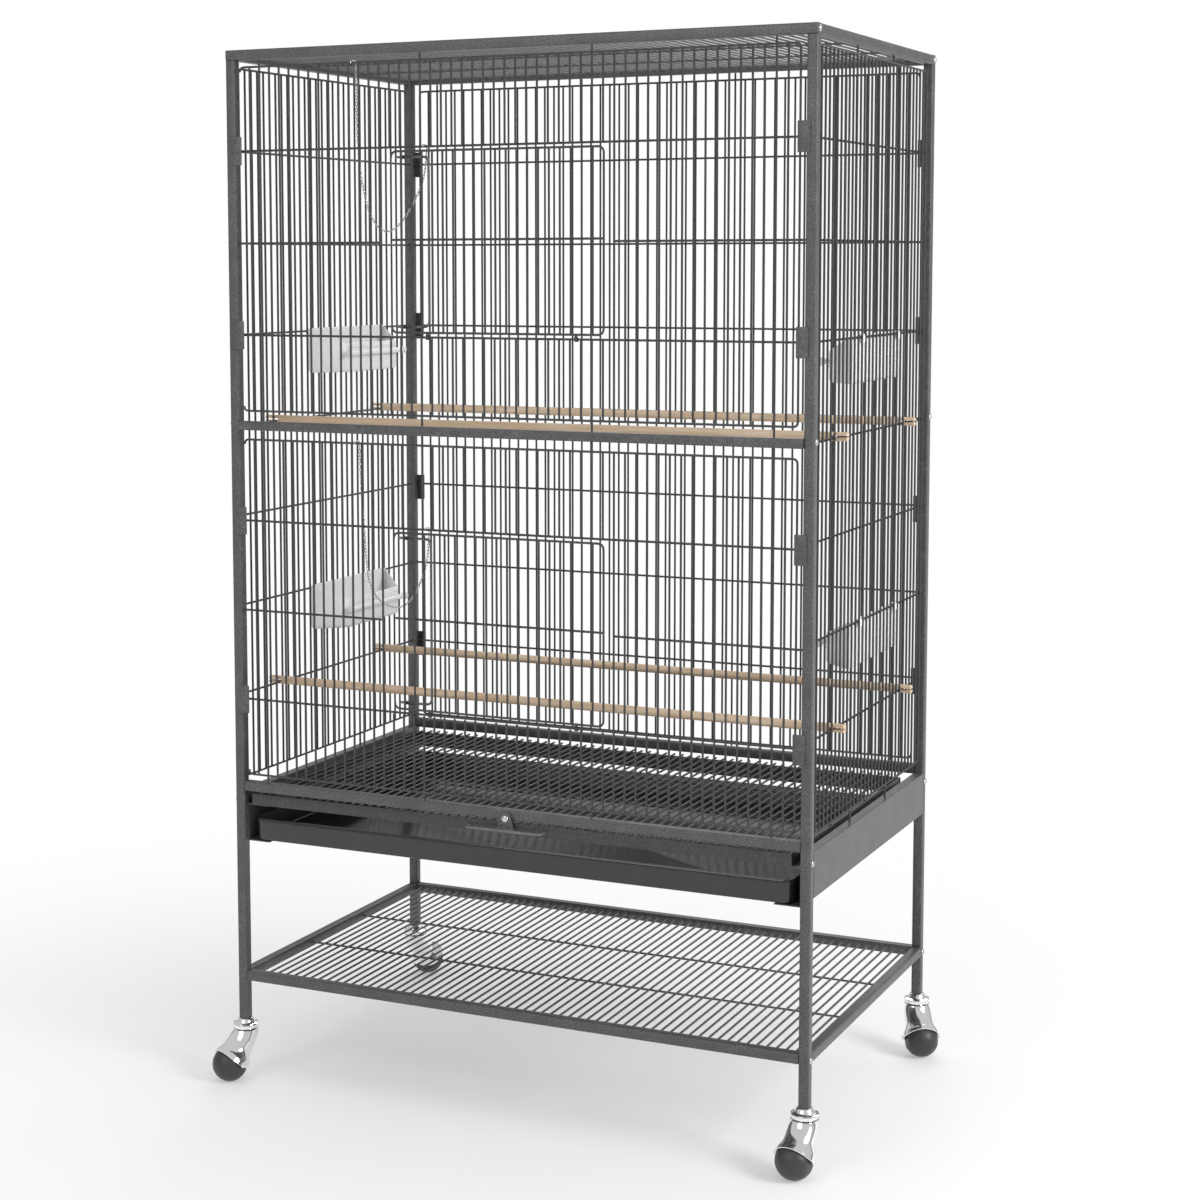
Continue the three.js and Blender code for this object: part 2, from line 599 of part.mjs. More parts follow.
function feeder() {
  const { front, depth, height, frontDrop, wall } = FEEDER;
  const top = WIRE + 2.2;
  const bottom = top - height;
  const reach = WIRE + 0.4 + depth;
  const solidOptions = { depth: height, bevelEnabled: false };
  const shell = new THREE.ExtrudeGeometry(feederPlan(0), solidOptions).translate(0, 0, bottom);
  const hollow = new THREE.ExtrudeGeometry(feederPlan(wall), solidOptions).translate(0, 0, bottom + wall);
  const slope = Math.atan2(frontDrop, depth);
  const wedge = box(0, 3 * depth, -200, 200, 0, height);
  wedge.rotateY(slope).translate(WIRE + 0.4 + wall, 0, top);
  const cup = cut(shell, [hollow, wedge]);
  const rodX = reach + 7;
  const rodZ = bottom + 28;
  const parts = [cup, rod('y', 3.5, 2 * front + 20, rodX, 0, rodZ, 10)];
  for (const side of [-1, 1]) {
    parts.push(box(reach - 1, rodX, side * (front - 12) - 3, side * (front - 12) + 3, rodZ - 2, rodZ + 2));
    const hookY = side * 5 * SIDE_PITCH;
    parts.push(box(-WIRE - 1.9, WIRE + 1.5, hookY - 4, hookY + 4, WIRE + 0.4, top));
    parts.push(box(-WIRE - 1.9, -WIRE - 0.4, hookY - 4, hookY + 4, -6, top));
  }
  return join(parts);
}

function buildFeeders() {
  const wireX = HALF_W - SIDE_INSET - LAYER;
  for (const [level, z] of Object.entries(FEEDER_LEVELS)) {
    place(`feeder_${level}_left`, feeder(), whitePlastic, { x: -wireX, y: FEEDER_Y, z });
    place(`feeder_${level}_right`, feeder(), whitePlastic, { x: wireX, y: FEEDER_Y, z, turn: 180 });
  }
}

// Casters: a collar pressed into the post, a swivelling hood with its axle, and a ball wheel.
// Made with the stem on the Z axis, the wheel trailing along +X and the axle along Y.
function lathe(points, segments) {
  return new THREE.LatheGeometry(points.map(([r, z]) => new THREE.Vector2(r, z)), segments).rotateX(Math.PI / 2);
}

function casterCollar() {
  const stemTop = POST_BOTTOM + 24;
  const stemR = TUBE / 2 - TUBE_WALL - 1;
  const top = POST_BOTTOM - GAP;
  const flange = [[0, 66], [11, 66], [15, 67], [17.5, 70.5], [17, 73], [12.5, 75], [11, top]];
  return lathe([...flange, [stemR, top], [stemR, stemTop], [0, stemTop]], 16);
}

function casterHood() {
  const shellR = WHEEL_R + 3;
  const hollowR = WHEEL_R + 1.5;
  const ball = new THREE.SphereGeometry(shellR, 18, 12).translate(TRAIL, 0, WHEEL_R);
  const neck = lathe([[0, 34], [10, 34], [12, 56], [12, 65.7], [0, 65.7]], 16);
  const hollow = new THREE.SphereGeometry(hollowR, 18, 12).translate(TRAIL, 0, WHEEL_R);
  const tilt = THREE.MathUtils.degToRad(HOOD_TILT);
  const far = 3 * WHEEL_R;
  const opening = box(HOOD_PAST_MIDDLE, far, -far, far, -far, far);
  opening.rotateY(tilt).translate(TRAIL, 0, WHEEL_R);
  const under = box(-far, far, -far, far, -far, HOOD_FLOOR_GAP);
  const body = cut(join([ball, neck]), [hollow, opening, under]);
  const axle = rod('y', 3, 2 * shellR - 1, TRAIL, 0, WHEEL_R, 10);
  return join([body, axle]);
}

function casterWheel() {
  const flat = 20;
  const bore = 3.35;
  const profile = [[bore, -flat]];
  const steps = 7;
  const edge = Math.asin(flat / WHEEL_R);
  for (let i = 0; i <= steps; i += 1) {
    const angle = -edge + (2 * edge * i) / steps;
    profile.push([WHEEL_R * Math.cos(angle), WHEEL_R * Math.sin(angle)]);
  }
  profile.push([bore, flat], [bore, -flat]);
  const points = profile.map(([r, y]) => new THREE.Vector2(r, y));
  return new THREE.LatheGeometry(points, 18).translate(TRAIL, 0, WHEEL_R);
}

function buildCasters() {
  for (const [name, sideX, sideY, turn] of CASTERS) {
    const at = { x: sideX * (HALF_W - TUBE / 2), y: sideY * (HALF_D - TUBE / 2), turn };
    place(`caster_collar_${name}`, casterCollar(), chrome, at);
    place(`caster_hood_${name}`, casterHood(), chrome, at);
    place(`caster_wheel_${name}`, casterWheel(), wheelBlack, at);
  }
}

buildPosts();
buildTop();
buildClosedPanels();
buildFrontPanels();
buildDoors();
buildChains();
buildRails();
buildBaseSides();
buildTray();
buildGrate();
buildGrateFittings();
buildShelf();
buildPerches();
buildFeeders();
buildCasters();

export default cage;
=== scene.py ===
"""Looks of a bird cage on a rolling stand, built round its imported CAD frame."""

import logging
import math
from abc import ABC, abstractmethod
from dataclasses import dataclass, field
from enum import Enum

import bpy
import numpy as np
from mathutils import Matrix, Vector
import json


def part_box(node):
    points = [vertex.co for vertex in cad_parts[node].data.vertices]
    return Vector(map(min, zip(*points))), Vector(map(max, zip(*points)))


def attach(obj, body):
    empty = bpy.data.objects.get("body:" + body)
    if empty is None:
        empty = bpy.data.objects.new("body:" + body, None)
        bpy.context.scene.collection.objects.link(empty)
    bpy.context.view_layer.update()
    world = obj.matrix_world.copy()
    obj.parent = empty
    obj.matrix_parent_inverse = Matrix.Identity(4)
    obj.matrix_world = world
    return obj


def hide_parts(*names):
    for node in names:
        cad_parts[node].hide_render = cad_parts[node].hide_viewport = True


logging.basicConfig(level=logging.INFO, format="%(message)s")
log = logging.getLogger("cage")

MM = 0.001

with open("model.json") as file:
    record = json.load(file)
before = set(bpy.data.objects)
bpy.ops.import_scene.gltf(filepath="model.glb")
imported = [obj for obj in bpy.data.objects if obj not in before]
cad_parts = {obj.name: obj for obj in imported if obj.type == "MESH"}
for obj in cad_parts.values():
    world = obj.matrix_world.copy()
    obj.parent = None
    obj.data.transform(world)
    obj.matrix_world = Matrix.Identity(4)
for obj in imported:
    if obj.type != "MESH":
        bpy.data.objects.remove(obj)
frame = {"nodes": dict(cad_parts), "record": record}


class Corner(Enum):
    """A corner of the cage: name, side signs, and the way its caster trails in degrees from +X."""

    FRONT_LEFT = ("front_left", -1, -1, 249)
    FRONT_RIGHT = ("front_right", 1, -1, 262)
    BACK_LEFT = ("back_left", -1, 1, 75)
    BACK_RIGHT = ("back_right", 1, 1, 300)


class Tier(Enum):
    """The two storeys of the cage, with how far the lower repeats below the upper, in mm."""

    UPPER = ("upper", 0.0)
    LOWER = ("lower", 474.4)


# ---------------------------------------------------------------- surfaces


@dataclass
class Surface:
    """Points and faces gathered from several closed shells.

    Attributes:
        points: blocks of points, in millimetres.
        faces: faces as tuples of point numbers.
        count: how many points are held so far.
    """

    points: list[np.ndarray] = field(default_factory=list)
    faces: list[list[int]] = field(default_factory=list)
    count: int = 0

    def add_rings(self, rings: np.ndarray, closed: bool = False) -> "Surface":
        """Adds shells made of rings of points.

        A ring runs anticlockwise about the way it travels, so quads between one ring and the next
        face outward; the first and last ring are closed by flat caps unless the shell closes on itself.

        Args:
            rings: array (shells, rings, sides, 3) or (rings, sides, 3).
            closed: whether the last ring joins the first.

        Returns:
            This surface.
        """
        rings = rings[None] if rings.ndim == 3 else rings
        shells, rows, sides, _ = rings.shape
        number = np.arange(shells * rows * sides).reshape(shells, rows, sides) + self.count
        nxt = np.roll(number, -1, axis=1) if closed else number[:, 1:]
        cur = number if closed else number[:, :-1]
        quads = np.stack([cur, np.roll(cur, -1, 2), np.roll(nxt, -1, 2), nxt], -1).reshape(-1, 4)
        self.faces += quads.tolist()
        if not closed:
            self.faces += number[:, 0, ::-1].tolist() + number[:, -1].tolist()
        self.points.append(rings.reshape(-1, 3))
        self.count += shells * rows * sides
        return self


def frames(tangent: np.ndarray) -> tuple[np.ndarray, np.ndarray]:
    """Two directions square to each tangent.

    Args:
        tangent: unit vectors (n, 3).

    Returns:
        Unit vectors n and b with n x b along the tangent.
    """
    upright = np.abs(tangent[:, 2:3]) > 0.9
    seed = np.where(upright, [[1.0, 0.0, 0.0]], [[0.0, 0.0, 1.0]])
    normal = seed - (seed * tangent).sum(1, keepdims=True) * tangent
    normal /= np.linalg.norm(normal, axis=1, keepdims=True)
    return normal, np.cross(tangent, normal)


def circle(radius: float, sides: int) -> np.ndarray:
    """A round section: points at equal angles on a circle.

    Args:
        radius: the circle's radius.
        sides: how many points.

    Returns:
        Outline (sides, 2).
    """
    angle = np.arange(sides) * 2 * np.pi / sides
    return radius * np.stack([np.cos(angle), np.sin(angle)], -1)


def rounded(width: float, height: float, radius: float, steps: int = 3) -> np.ndarray:
    """A rectangular section with quarter-circle corners, anticlockwise, centred on the origin.

    Args:
        width: size along the first axis.
        height: size along the second axis.
        radius: the corners' radius.
        steps: straight pieces in each corner.

    Returns:
        Outline (sides, 2).
    """
    angle = np.linspace(0, np.pi / 2, steps + 1)[None] + np.arange(4)[:, None] * np.pi / 2
    signs = np.array([[1, 1], [-1, 1], [-1, -1], [1, -1]])[:, None]
    corner = signs * np.array([width / 2 - radius, height / 2 - radius])
    return (corner + radius * np.stack([np.cos(angle), np.sin(angle)], -1)).reshape(-1, 2)


def bars(ends: list | np.ndarray, section: np.ndarray, chamfer: float = 0.6) -> np.ndarray:
    """Straight bars with chamfered ends.

    Each bar has four rings: the section shrunk at the end, whole one chamfer in, and the same at
    the far end.

    Args:
        ends: array (n, 6) of start and end points.
        section: outline (sides, 2).
        chamfer: the chamfer's size in mm.

    Returns:
        Rings (n, 4, sides, 3).
    """
    ends = np.asarray(ends, float)
    start, stop = ends[:, :3], ends[:, 3:]
    length = np.linalg.norm(stop - start, axis=1, keepdims=True)
    tangent = (stop - start) / length
    normal, side = frames(tangent)
    reach = np.abs(section).max()
    shrink = np.array([1 - chamfer / reach, 1, 1, 1 - chamfer / reach])
    along = np.stack([0 * length, 0 * length + chamfer, length - chamfer, length], 1)
    centre = start[:, None] + along * tangent[:, None]
    flat = section[None, None] * shrink[None, :, None, None]
    spread = flat[..., :1] * normal[:, None, None] + flat[..., 1:] * side[:, None, None]
    return centre[:, :, None] + spread


def sweep(path: np.ndarray, section: np.ndarray, across: np.ndarray, closed: bool = False) -> np.ndarray:
    """A section carried along a flat path.

    The section's first axis stays square to the path's plane and its second turns with the path.

    Args:
        path: points (n, 3).
        section: outline (sides, 2), or (n, sides, 2) where it changes along the way.
        across: the plane's normal.
        closed: whether the path closes on itself.

    Returns:
        Rings (n, sides, 3).
    """
    if closed:
        tangent = np.roll(path, -1, 0) - np.roll(path, 1, 0)
    else:
        tangent = np.gradient(path, axis=0)
    tangent /= np.linalg.norm(tangent, axis=1, keepdims=True)
    normal = np.broadcast_to(np.asarray(across, float), path.shape)
    side = np.cross(tangent, normal)
    flat = np.broadcast_to(section, (len(path),) + section.shape[-2:])
    return path[:, None] + flat[..., :1] * normal[:, None] + flat[..., 1:] * side[:, None]


def bend(corners: np.ndarray, radius: float, closed: bool = False, steps: int = 5) -> np.ndarray:
    """A path through corners, each rounded by a parabola from one radius before to one after it.

    Args:
        corners: points (n, 3).
        radius: how far from each corner its curve begins and ends.
        closed: whether the last corner joins the first.
        steps: points in each curve.

    Returns:
        Points (m, 3).
    """
    corners = np.asarray(corners, float)
    before = np.roll(corners, 1, 0) - corners
    after = np.roll(corners, -1, 0) - corners
    before *= radius / np.linalg.norm(before, axis=1, keepdims=True)
    after *= radius / np.linalg.norm(after, axis=1, keepdims=True)
    t = np.linspace(0, 1, steps)[None, :, None]
    arcs = corners[:, None] + before[:, None] * (1 - t) ** 2 + after[:, None] * t**2
    if closed:
        return arcs.reshape(-1, 3)
    return np.concatenate([corners[:1], arcs[1:-1].reshape(-1, 3), corners[-1:]])


def lathe(profile: np.ndarray, sides: int, centre: tuple, axis: tuple = (0, 0, 1)) -> np.ndarray:
    """A profile turned about an axis through a centre.

    Args:
        profile: rows of (radius, height).
        sides: points round the axis.
        centre: where height 0 lies.
        axis: the axis's direction.

    Returns:
        Rings (n, sides, 3), running up the axis where the heights rise.
    """
    profile = np.asarray(profile, float)
    axis = np.asarray([axis], float) / np.linalg.norm(axis)
    normal, side = frames(axis)
    ring = circle(1.0, sides)
    around = ring[:, :1] * normal + ring[:, 1:] * side
    return np.asarray(centre) + profile[:, None, :1] * around[None] + profile[:, None, 1:] * axis[None]


def loft(plans: list[np.ndarray], heights: list) -> np.ndarray:
    """Plans stacked at heights.

    Args:
        plans: outlines (sides, 2).
        heights: for each plan, a number or one height for each point.

    Returns:
        Rings (n, sides, 3).
    """
    rows = [np.concatenate([p, np.broadcast_to(h, (len(p),))[:, None]], 1) for p, h in zip(plans, heights)]
    return np.stack(rows)


def curve_through(points: list, count: int) -> np.ndarray:
    """A smooth line through points.

    Each span is a cubic, whose slope at a point is that between the points on each side of it.

    Args:
        points: the points to pass.
        count: how many points the line has.

    Returns:
        Points (count, 3).
    """
    p = np.asarray(points, float)
    p = np.concatenate([2 * p[:1] - p[1:2], p, 2 * p[-1:] - p[-2:-1]])
    t = np.linspace(0, len(points) - 1 - 1e-6, count)
    i = t.astype(int)
    f = (t - i)[:, None]
    a, b, c, d = p[i], p[i + 1], p[i + 2], p[i + 3]
    return b + 0.5 * f * (c - a + f * (2 * a - 5 * b + 4 * c - d + f * (3 * (b - c) + d - a)))


# ---------------------------------------------------------------- finishes


@dataclass(frozen=True)
class Finish:
    """How a surface looks.

    Attributes:
        name: material name.
        color: linear base colour.
        light: the lighter colour of its grain, mixed in by the grain.
        roughness: base roughness.
        metallic: metalness.
        coat: clear coat weight.
        scale: grain's repeats in a metre.
        bump: grain's height, in metres.
        stretch: grain's scale along each axis.
    """

    name: str
    color: tuple[float, float, float]
    light: tuple[float, float, float]
    roughness: float
    metallic: float = 0.0
    coat: float = 0.0
    scale: float = 500.0
    bump: float = 0.0
    stretch: tuple[float, float, float] = (1.0, 1.0, 1.0)


POWDER = Finish("frame_powder", (0.062, 0.062, 0.064), (0.17, 0.17, 0.173), 0.45, 0.1, 0.1, 420, 0.0002)
WIRE = Finish("wire_powder", (0.034, 0.034, 0.035), (0.09, 0.09, 0.092), 0.45, 0.1, 0.05, 520, 0.0001)
BAIL = Finish("bail_powder", (0.12, 0.12, 0.125), (0.24, 0.24, 0.245), 0.4, 0.2, 0.1, 520, 0.0001)
ZINC = Finish("zinc", (0.55, 0.55, 0.56), (0.75, 0.75, 0.76), 0.24, 1.0, 0.0, 300, 0.00002)
ENAMEL = Finish("tray_enamel", (0.014, 0.014, 0.0145), (0.022, 0.022, 0.023), 0.12, 0.0, 0.35, 90, 0.00012)
CHROME = Finish("chrome", (0.9, 0.9, 0.91), (0.96, 0.96, 0.965), 0.1, 1.0, 0.0, 60, 0.0)
NYLON = Finish("wheel_nylon", (0.035, 0.035, 0.036), (0.05, 0.05, 0.052), 0.42, 0.0, 0.0, 700, 0.00003)
PLASTIC = Finish("feeder_plastic", (0.84, 0.84, 0.84), (0.88, 0.88, 0.88), 0.35, 0.0, 0.1, 200, 0.00001)
WOOD = Finish("dowel_wood", (0.62, 0.45, 0.3), (0.86, 0.72, 0.57), 0.6, 0.0, 0.0, 240, 0.0001, (0.06, 1, 1))
SLOTS = {
    "frame_coat": POWDER,
    "wire_coat": WIRE,
    "bail_coat": BAIL,
    "zinc": ZINC,
    "tray_black": ENAMEL,
    "chrome": CHROME,
    "wheel_plastic": NYLON,
    "feeder_plastic": PLASTIC,
    "dowel_wood": WOOD,
}


def grain_group() -> bpy.types.NodeTree:
    """The shared grain: fine cells over a slower cloud.

    Returns:
        A group taking Vector and Scale, and giving Shade (0 to 1) and Height (0 to 1).
    """
    tree = bpy.data.node_groups.new("surface_grain", "ShaderNodeTree")
    tree.interface.new_socket("Vector", in_out="INPUT", socket_type="NodeSocketVector")
    tree.interface.new_socket("Scale", in_out="INPUT", socket_type="NodeSocketFloat")
    tree.interface.new_socket("Shade", in_out="OUTPUT", socket_type="NodeSocketFloat")
    tree.interface.new_socket("Height", in_out="OUTPUT", socket_type="NodeSocketFloat")
    nodes, links = tree.nodes, tree.links
    entry = nodes.new("NodeGroupInput")
    out = nodes.new("NodeGroupOutput")
    fine = nodes.new("ShaderNodeTexNoise")
    fine.inputs["Detail"].default_value = 2.0
    slow = nodes.new("ShaderNodeTexNoise")
    slow.inputs["Detail"].default_value = 1.0
    slower = nodes.new("ShaderNodeMath")
    slower.operation = "MULTIPLY"
    slower.inputs[1].default_value = 0.08
    spread = nodes.new("ShaderNodeMapRange")
    spread.inputs["From Min"].default_value = 0.38
    spread.inputs["From Max"].default_value = 0.68
    blend = nodes.new("ShaderNodeMath")
    blend.operation = "MULTIPLY"
    links.new(entry.outputs["Vector"], fine.inputs["Vector"])
    links.new(entry.outputs["Vector"], slow.inputs["Vector"])
    links.new(entry.outputs["Scale"], fine.inputs["Scale"])
    links.new(entry.outputs["Scale"], slower.inputs[0])
    links.new(slower.outputs[0], slow.inputs["Scale"])
    links.new(fine.outputs["Fac"], spread.inputs["Value"])
    links.new(spread.outputs["Result"], blend.inputs[0])
    links.new(slow.outputs["Fac"], blend.inputs[1])
    links.new(blend.outputs[0], out.inputs["Shade"])
    links.new(fine.outputs["Fac"], out.inputs["Height"])
    return tree


def make_material(finish: Finish, grain: bpy.types.NodeTree) -> bpy.types.Material:
    """A material of one finish.

    Args:
        finish: the finish.
        grain: the shared grain group.

    Returns:
        The material.
    """
    material = bpy.data.materials.new(finish.name)
    material.use_nodes = True
    nodes, links = material.node_tree.nodes, material.node_tree.links
    shader = nodes["Principled BSDF"]
    shader.inputs["Roughness"].default_value = finish.roughness
    shader.inputs["Metallic"].default_value = finish.metallic
    shader.inputs["Coat Weight"].default_value = finish.coat
    shader.inputs["Coat Roughness"].default_value = 0.15
    coords = nodes.new("ShaderNodeTexCoord")
    mapping = nodes.new("ShaderNodeMapping")
    mapping.inputs["Scale"].default_value = finish.stretch
    group = nodes.new("ShaderNodeGroup")
    group.node_tree = grain
    group.inputs["Scale"].default_value = finish.scale
    mix = nodes.new("ShaderNodeMix")
    mix.data_type = "RGBA"
    mix.inputs["A"].default_value = (*finish.color, 1)
    mix.inputs["B"].default_value = (*finish.light, 1)
    links.new(coords.outputs["Object"], mapping.inputs["Vector"])
    links.new(mapping.outputs["Vector"], group.inputs["Vector"])
    links.new(group.outputs["Shade"], mix.inputs["Factor"])
    links.new(mix.outputs["Result"], shader.inputs["Base Color"])
    if finish.bump:
        bump = nodes.new("ShaderNodeBump")
        bump.inputs["Distance"].default_value = finish.bump
        bump.inputs["Strength"].default_value = 0.8
        links.new(group.outputs["Height"], bump.inputs["Height"])
        links.new(bump.outputs["Normal"], shader.inputs["Normal"])
    return material


# ---------------------------------------------------------------- workshop


class Workshop:
    """Turns surfaces into objects that ride on the CAD bodies.

    Attributes:
        bodies: body of each CAD node.
        slots: material slot of each CAD node.
        materials: material of each slot.
    """

    def __init__(self, record: dict) -> None:
        """Args:
        record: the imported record.
        """
        behaviour = record["behaviour"]["bodies"]
        self.bodies = {node: body for body, nodes in behaviour.items() for node in nodes}
        self.slots = {part["node"]: part["material_slot"] for part in record["subparts"]}
        grain = grain_group()
        self.materials = {slot: make_material(finish, grain) for slot, finish in SLOTS.items()}

    def publish(
        self,
        name: str,
        surface: Surface,
        node: str,
        slot: str = "",
        replaces: bool = True,
        smooth: float = 35,
    ) -> bpy.types.Object:
        """Makes the object for a surface.

        Args:
            name: object name.
            surface: its points, in mm, and faces.
            node: the CAD node whose body it rides on.
            slot: its material slot; the node's own by default.
            replaces: whether it is shown in place of the node.
            smooth: angle in degrees below which edges are smooth.

        Returns:
            The object.
        """
        slot = slot or self.slots[node]
        mesh = bpy.data.meshes.new(name)
        points = np.concatenate(surface.points) * MM
        mesh.from_pydata(points.tolist(), [], surface.faces)
        mesh.shade_smooth()
        mesh.set_sharp_from_angle(angle=math.radians(smooth))
        mesh.materials.append(self.materials[slot])
        obj = bpy.data.objects.new(name, mesh)
        bpy.context.scene.collection.objects.link(obj)
        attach(obj, self.bodies[node])
        if replaces:
            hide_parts(node)
        log.info("%s: %d faces", name, len(surface.faces))
        return obj

    def repaint(self, node: str) -> None:
        """Gives a shown CAD node its finish.

        Args:
            node: the node's name.
        """
        data = frame["nodes"][node].data
        data.materials.clear()
        data.materials.append(self.materials[self.slots[node]])


@dataclass
class SubAssembly(ABC):
    """One part of the cage, in millimetres from the floor under the cage's middle.

    Attributes:
        shop: what makes and finishes objects.
    """

    shop: Workshop

    @abstractmethod
    def build(self) -> None:
        """Makes the sub-assembly's objects."""

    def dress(self) -> None:
        """Finishes the CAD nodes that are shown as they are."""


# ---------------------------------------------------------------- sizes


@dataclass(frozen=True)
class CageSizes:
    """Sizes and pitches shared by the cage's parts, in mm.

    Attributes:
        half_w: half the width over the posts.
        half_d: half the depth over the posts.
        tube: the square tube's side.
        corner: the tube's corner radius.
        wire: the wire's radius.
        layer: from a panel's uprights to its level wires.
        cross_y: the cross wires' distance from the middle of the top, grate and shelf.
        front_pitch: pitch of the front and back panels' uprights.
        side_pitch: pitch of the side panels' uprights.
        grid_pitch: pitch of the top's and shelf's bars.
        front_y: the front panel's uprights.
        side_x: the side panels' uprights.
        levels: the upper front panel's level wires, from its top wire down.
        side_levels: the closed panels' level wires.
        closed_bottom: the closed panels' lowest wire.
        bend: the panels' corner radius.
    """

    half_w: float = 395
    half_d: float = 245
    tube: float = 13
    corner: float = 1.8
    wire: float = 1.45
    layer: float = 2.7
    cross_y: float = 72
    front_pitch: float = 14.4
    side_pitch: float = 15
    grid_pitch: float = 12.4
    front_y: float = -243.5
    side_x: float = 388.5
    levels: tuple = (1323.7, 1218.2, 1101, 983.7)
    side_levels: tuple = (1218.2, 1101, 983.7, 866.5, 749.5, 632, 515)
    closed_bottom: float = 403.5
    bend: float = 6


SIZES = CageSizes()
TUBE_SECTION = rounded(SIZES.tube, SIZES.tube, SIZES.corner)
WIRE_SECTION = circle(SIZES.wire, 8)


@dataclass(frozen=True)
class Plane:
    """A wire panel's own frame: u along it, v into the cage, z up.

    Attributes:
        x: origin's x in mm.
        y: origin's y in mm.
        turn: turn about Z in degrees.
    """

    x: float
    y: float
    turn: float

    def place(self, points: np.ndarray) -> np.ndarray:
        """Turns a panel's points into the cage's frame.

        Args:
            points: array (..., 3) of (u, v, z).

        Returns:
            Array (..., 3) of (x, y, z).
        """
        c, s = math.cos(math.radians(self.turn)), math.sin(math.radians(self.turn))
        turn = np.array([[c, s, 0], [-s, c, 0], [0, 0, 1]])
        return np.asarray(points, float) @ turn + [self.x, self.y, 0]

    def bars(self, ends: list | np.ndarray, section: np.ndarray, chamfer: float) -> np.ndarray:
        """Straight bars given in the panel's frame.

        Args:
            ends: rows of (u, v, z, u, v, z).
            section: outline (sides, 2).
            chamfer: the chamfer's size in mm.

        Returns:
            Rings (n, 4, sides, 3).
        """
        ends = np.asarray(ends, float)
        both = np.concatenate([self.place(ends[:, :3]), self.place(ends[:, 3:])], 1)
        return bars(both, section, chamfer)

    def loop(self, u0: float, u1: float, z0: float, z1: float, radius: float) -> np.ndarray:
        """A closed wire outline with rounded corners.

        Args:
            u0: its first side.
            u1: its other side.
            z0: its lowest wire.
            z1: its top wire.
            radius: its corners' radius.

        Returns:
            Rings (n, sides, 3).
        """
        corners = [(u0, 0, z0), (u1, 0, z0), (u1, 0, z1), (u0, 0, z1)]
        path = self.place(bend(corners, radius, closed=True))
        across = self.place([0, 1, 0]) - self.place([0, 0, 0])
        return sweep(path, WIRE_SECTION, across, closed=True)


FRONT = Plane(0, SIZES.front_y, 0)
BACK = Plane(0, -SIZES.front_y, 180)
RIGHT = Plane(SIZES.side_x, 0, 90)
LEFT = Plane(-SIZES.side_x, 0, -90)


# ---------------------------------------------------------------- camera and chains


@dataclass(frozen=True)
class Camera:
    """Where the scene is seen from.

    Attributes:
        place: the camera's position in metres.
        yaw: its heading in radians, clockwise from +Y.
        pitch: its tilt upward in radians.
        roll: its turn about its own axis in radians.
        lens: focal length in mm, for a sensor 36 mm wide.
        shift: how far the view is shifted.
    """

    place: tuple = (1.24046, -2.796, 1.07899)
    yaw: float = -0.446209
    pitch: float = -0.094222
    roll: float = -0.00275
    lens: float = 69.853
    shift: tuple = (0.066667, -0.1)

    def build(self) -> None:
        """Adds the camera."""
        data = bpy.data.cameras.new("camera")
        data.sensor_width = 36
        data.lens = self.lens
        data.shift_x, data.shift_y = self.shift
        cam = bpy.data.objects.new("camera", data)
        bpy.context.scene.collection.objects.link(cam)
        level = math.cos(self.pitch)
        ahead = Vector((math.sin(self.yaw) * level, math.cos(self.yaw) * level, math.sin(self.pitch)))
        turn = ahead.to_track_quat("-Z", "Y").to_matrix() @ Matrix.Rotation(self.roll, 3, "Z")
        cam.matrix_world = Matrix.Translation(self.place) @ turn.to_4x4()
        bpy.context.scene.camera = cam


CHAIN_ROUTES = {
    Tier.UPPER: [
        (-211, 1318.4), (-211, 1285), (-209.7, 1242), (-207.5, 1208), (-204, 1180), (-197, 1150),
        (-186, 1126), (-172, 1115.5), (-158, 1118), (-143, 1132), (-129, 1153), (-119, 1173),
        (-114, 1192), (-112, 1210.9),
    ],
    Tier.LOWER: [
        (-211, 844), (-209.5, 815), (-207.5, 775), (-205, 740), (-202.5, 705), (-198.5, 675),
        (-188, 654), (-170, 643.5), (-152, 643.5), (-136, 656), (-123, 680), (-115, 706), (-112, 736.5),
    ],
}  # fmt: skip


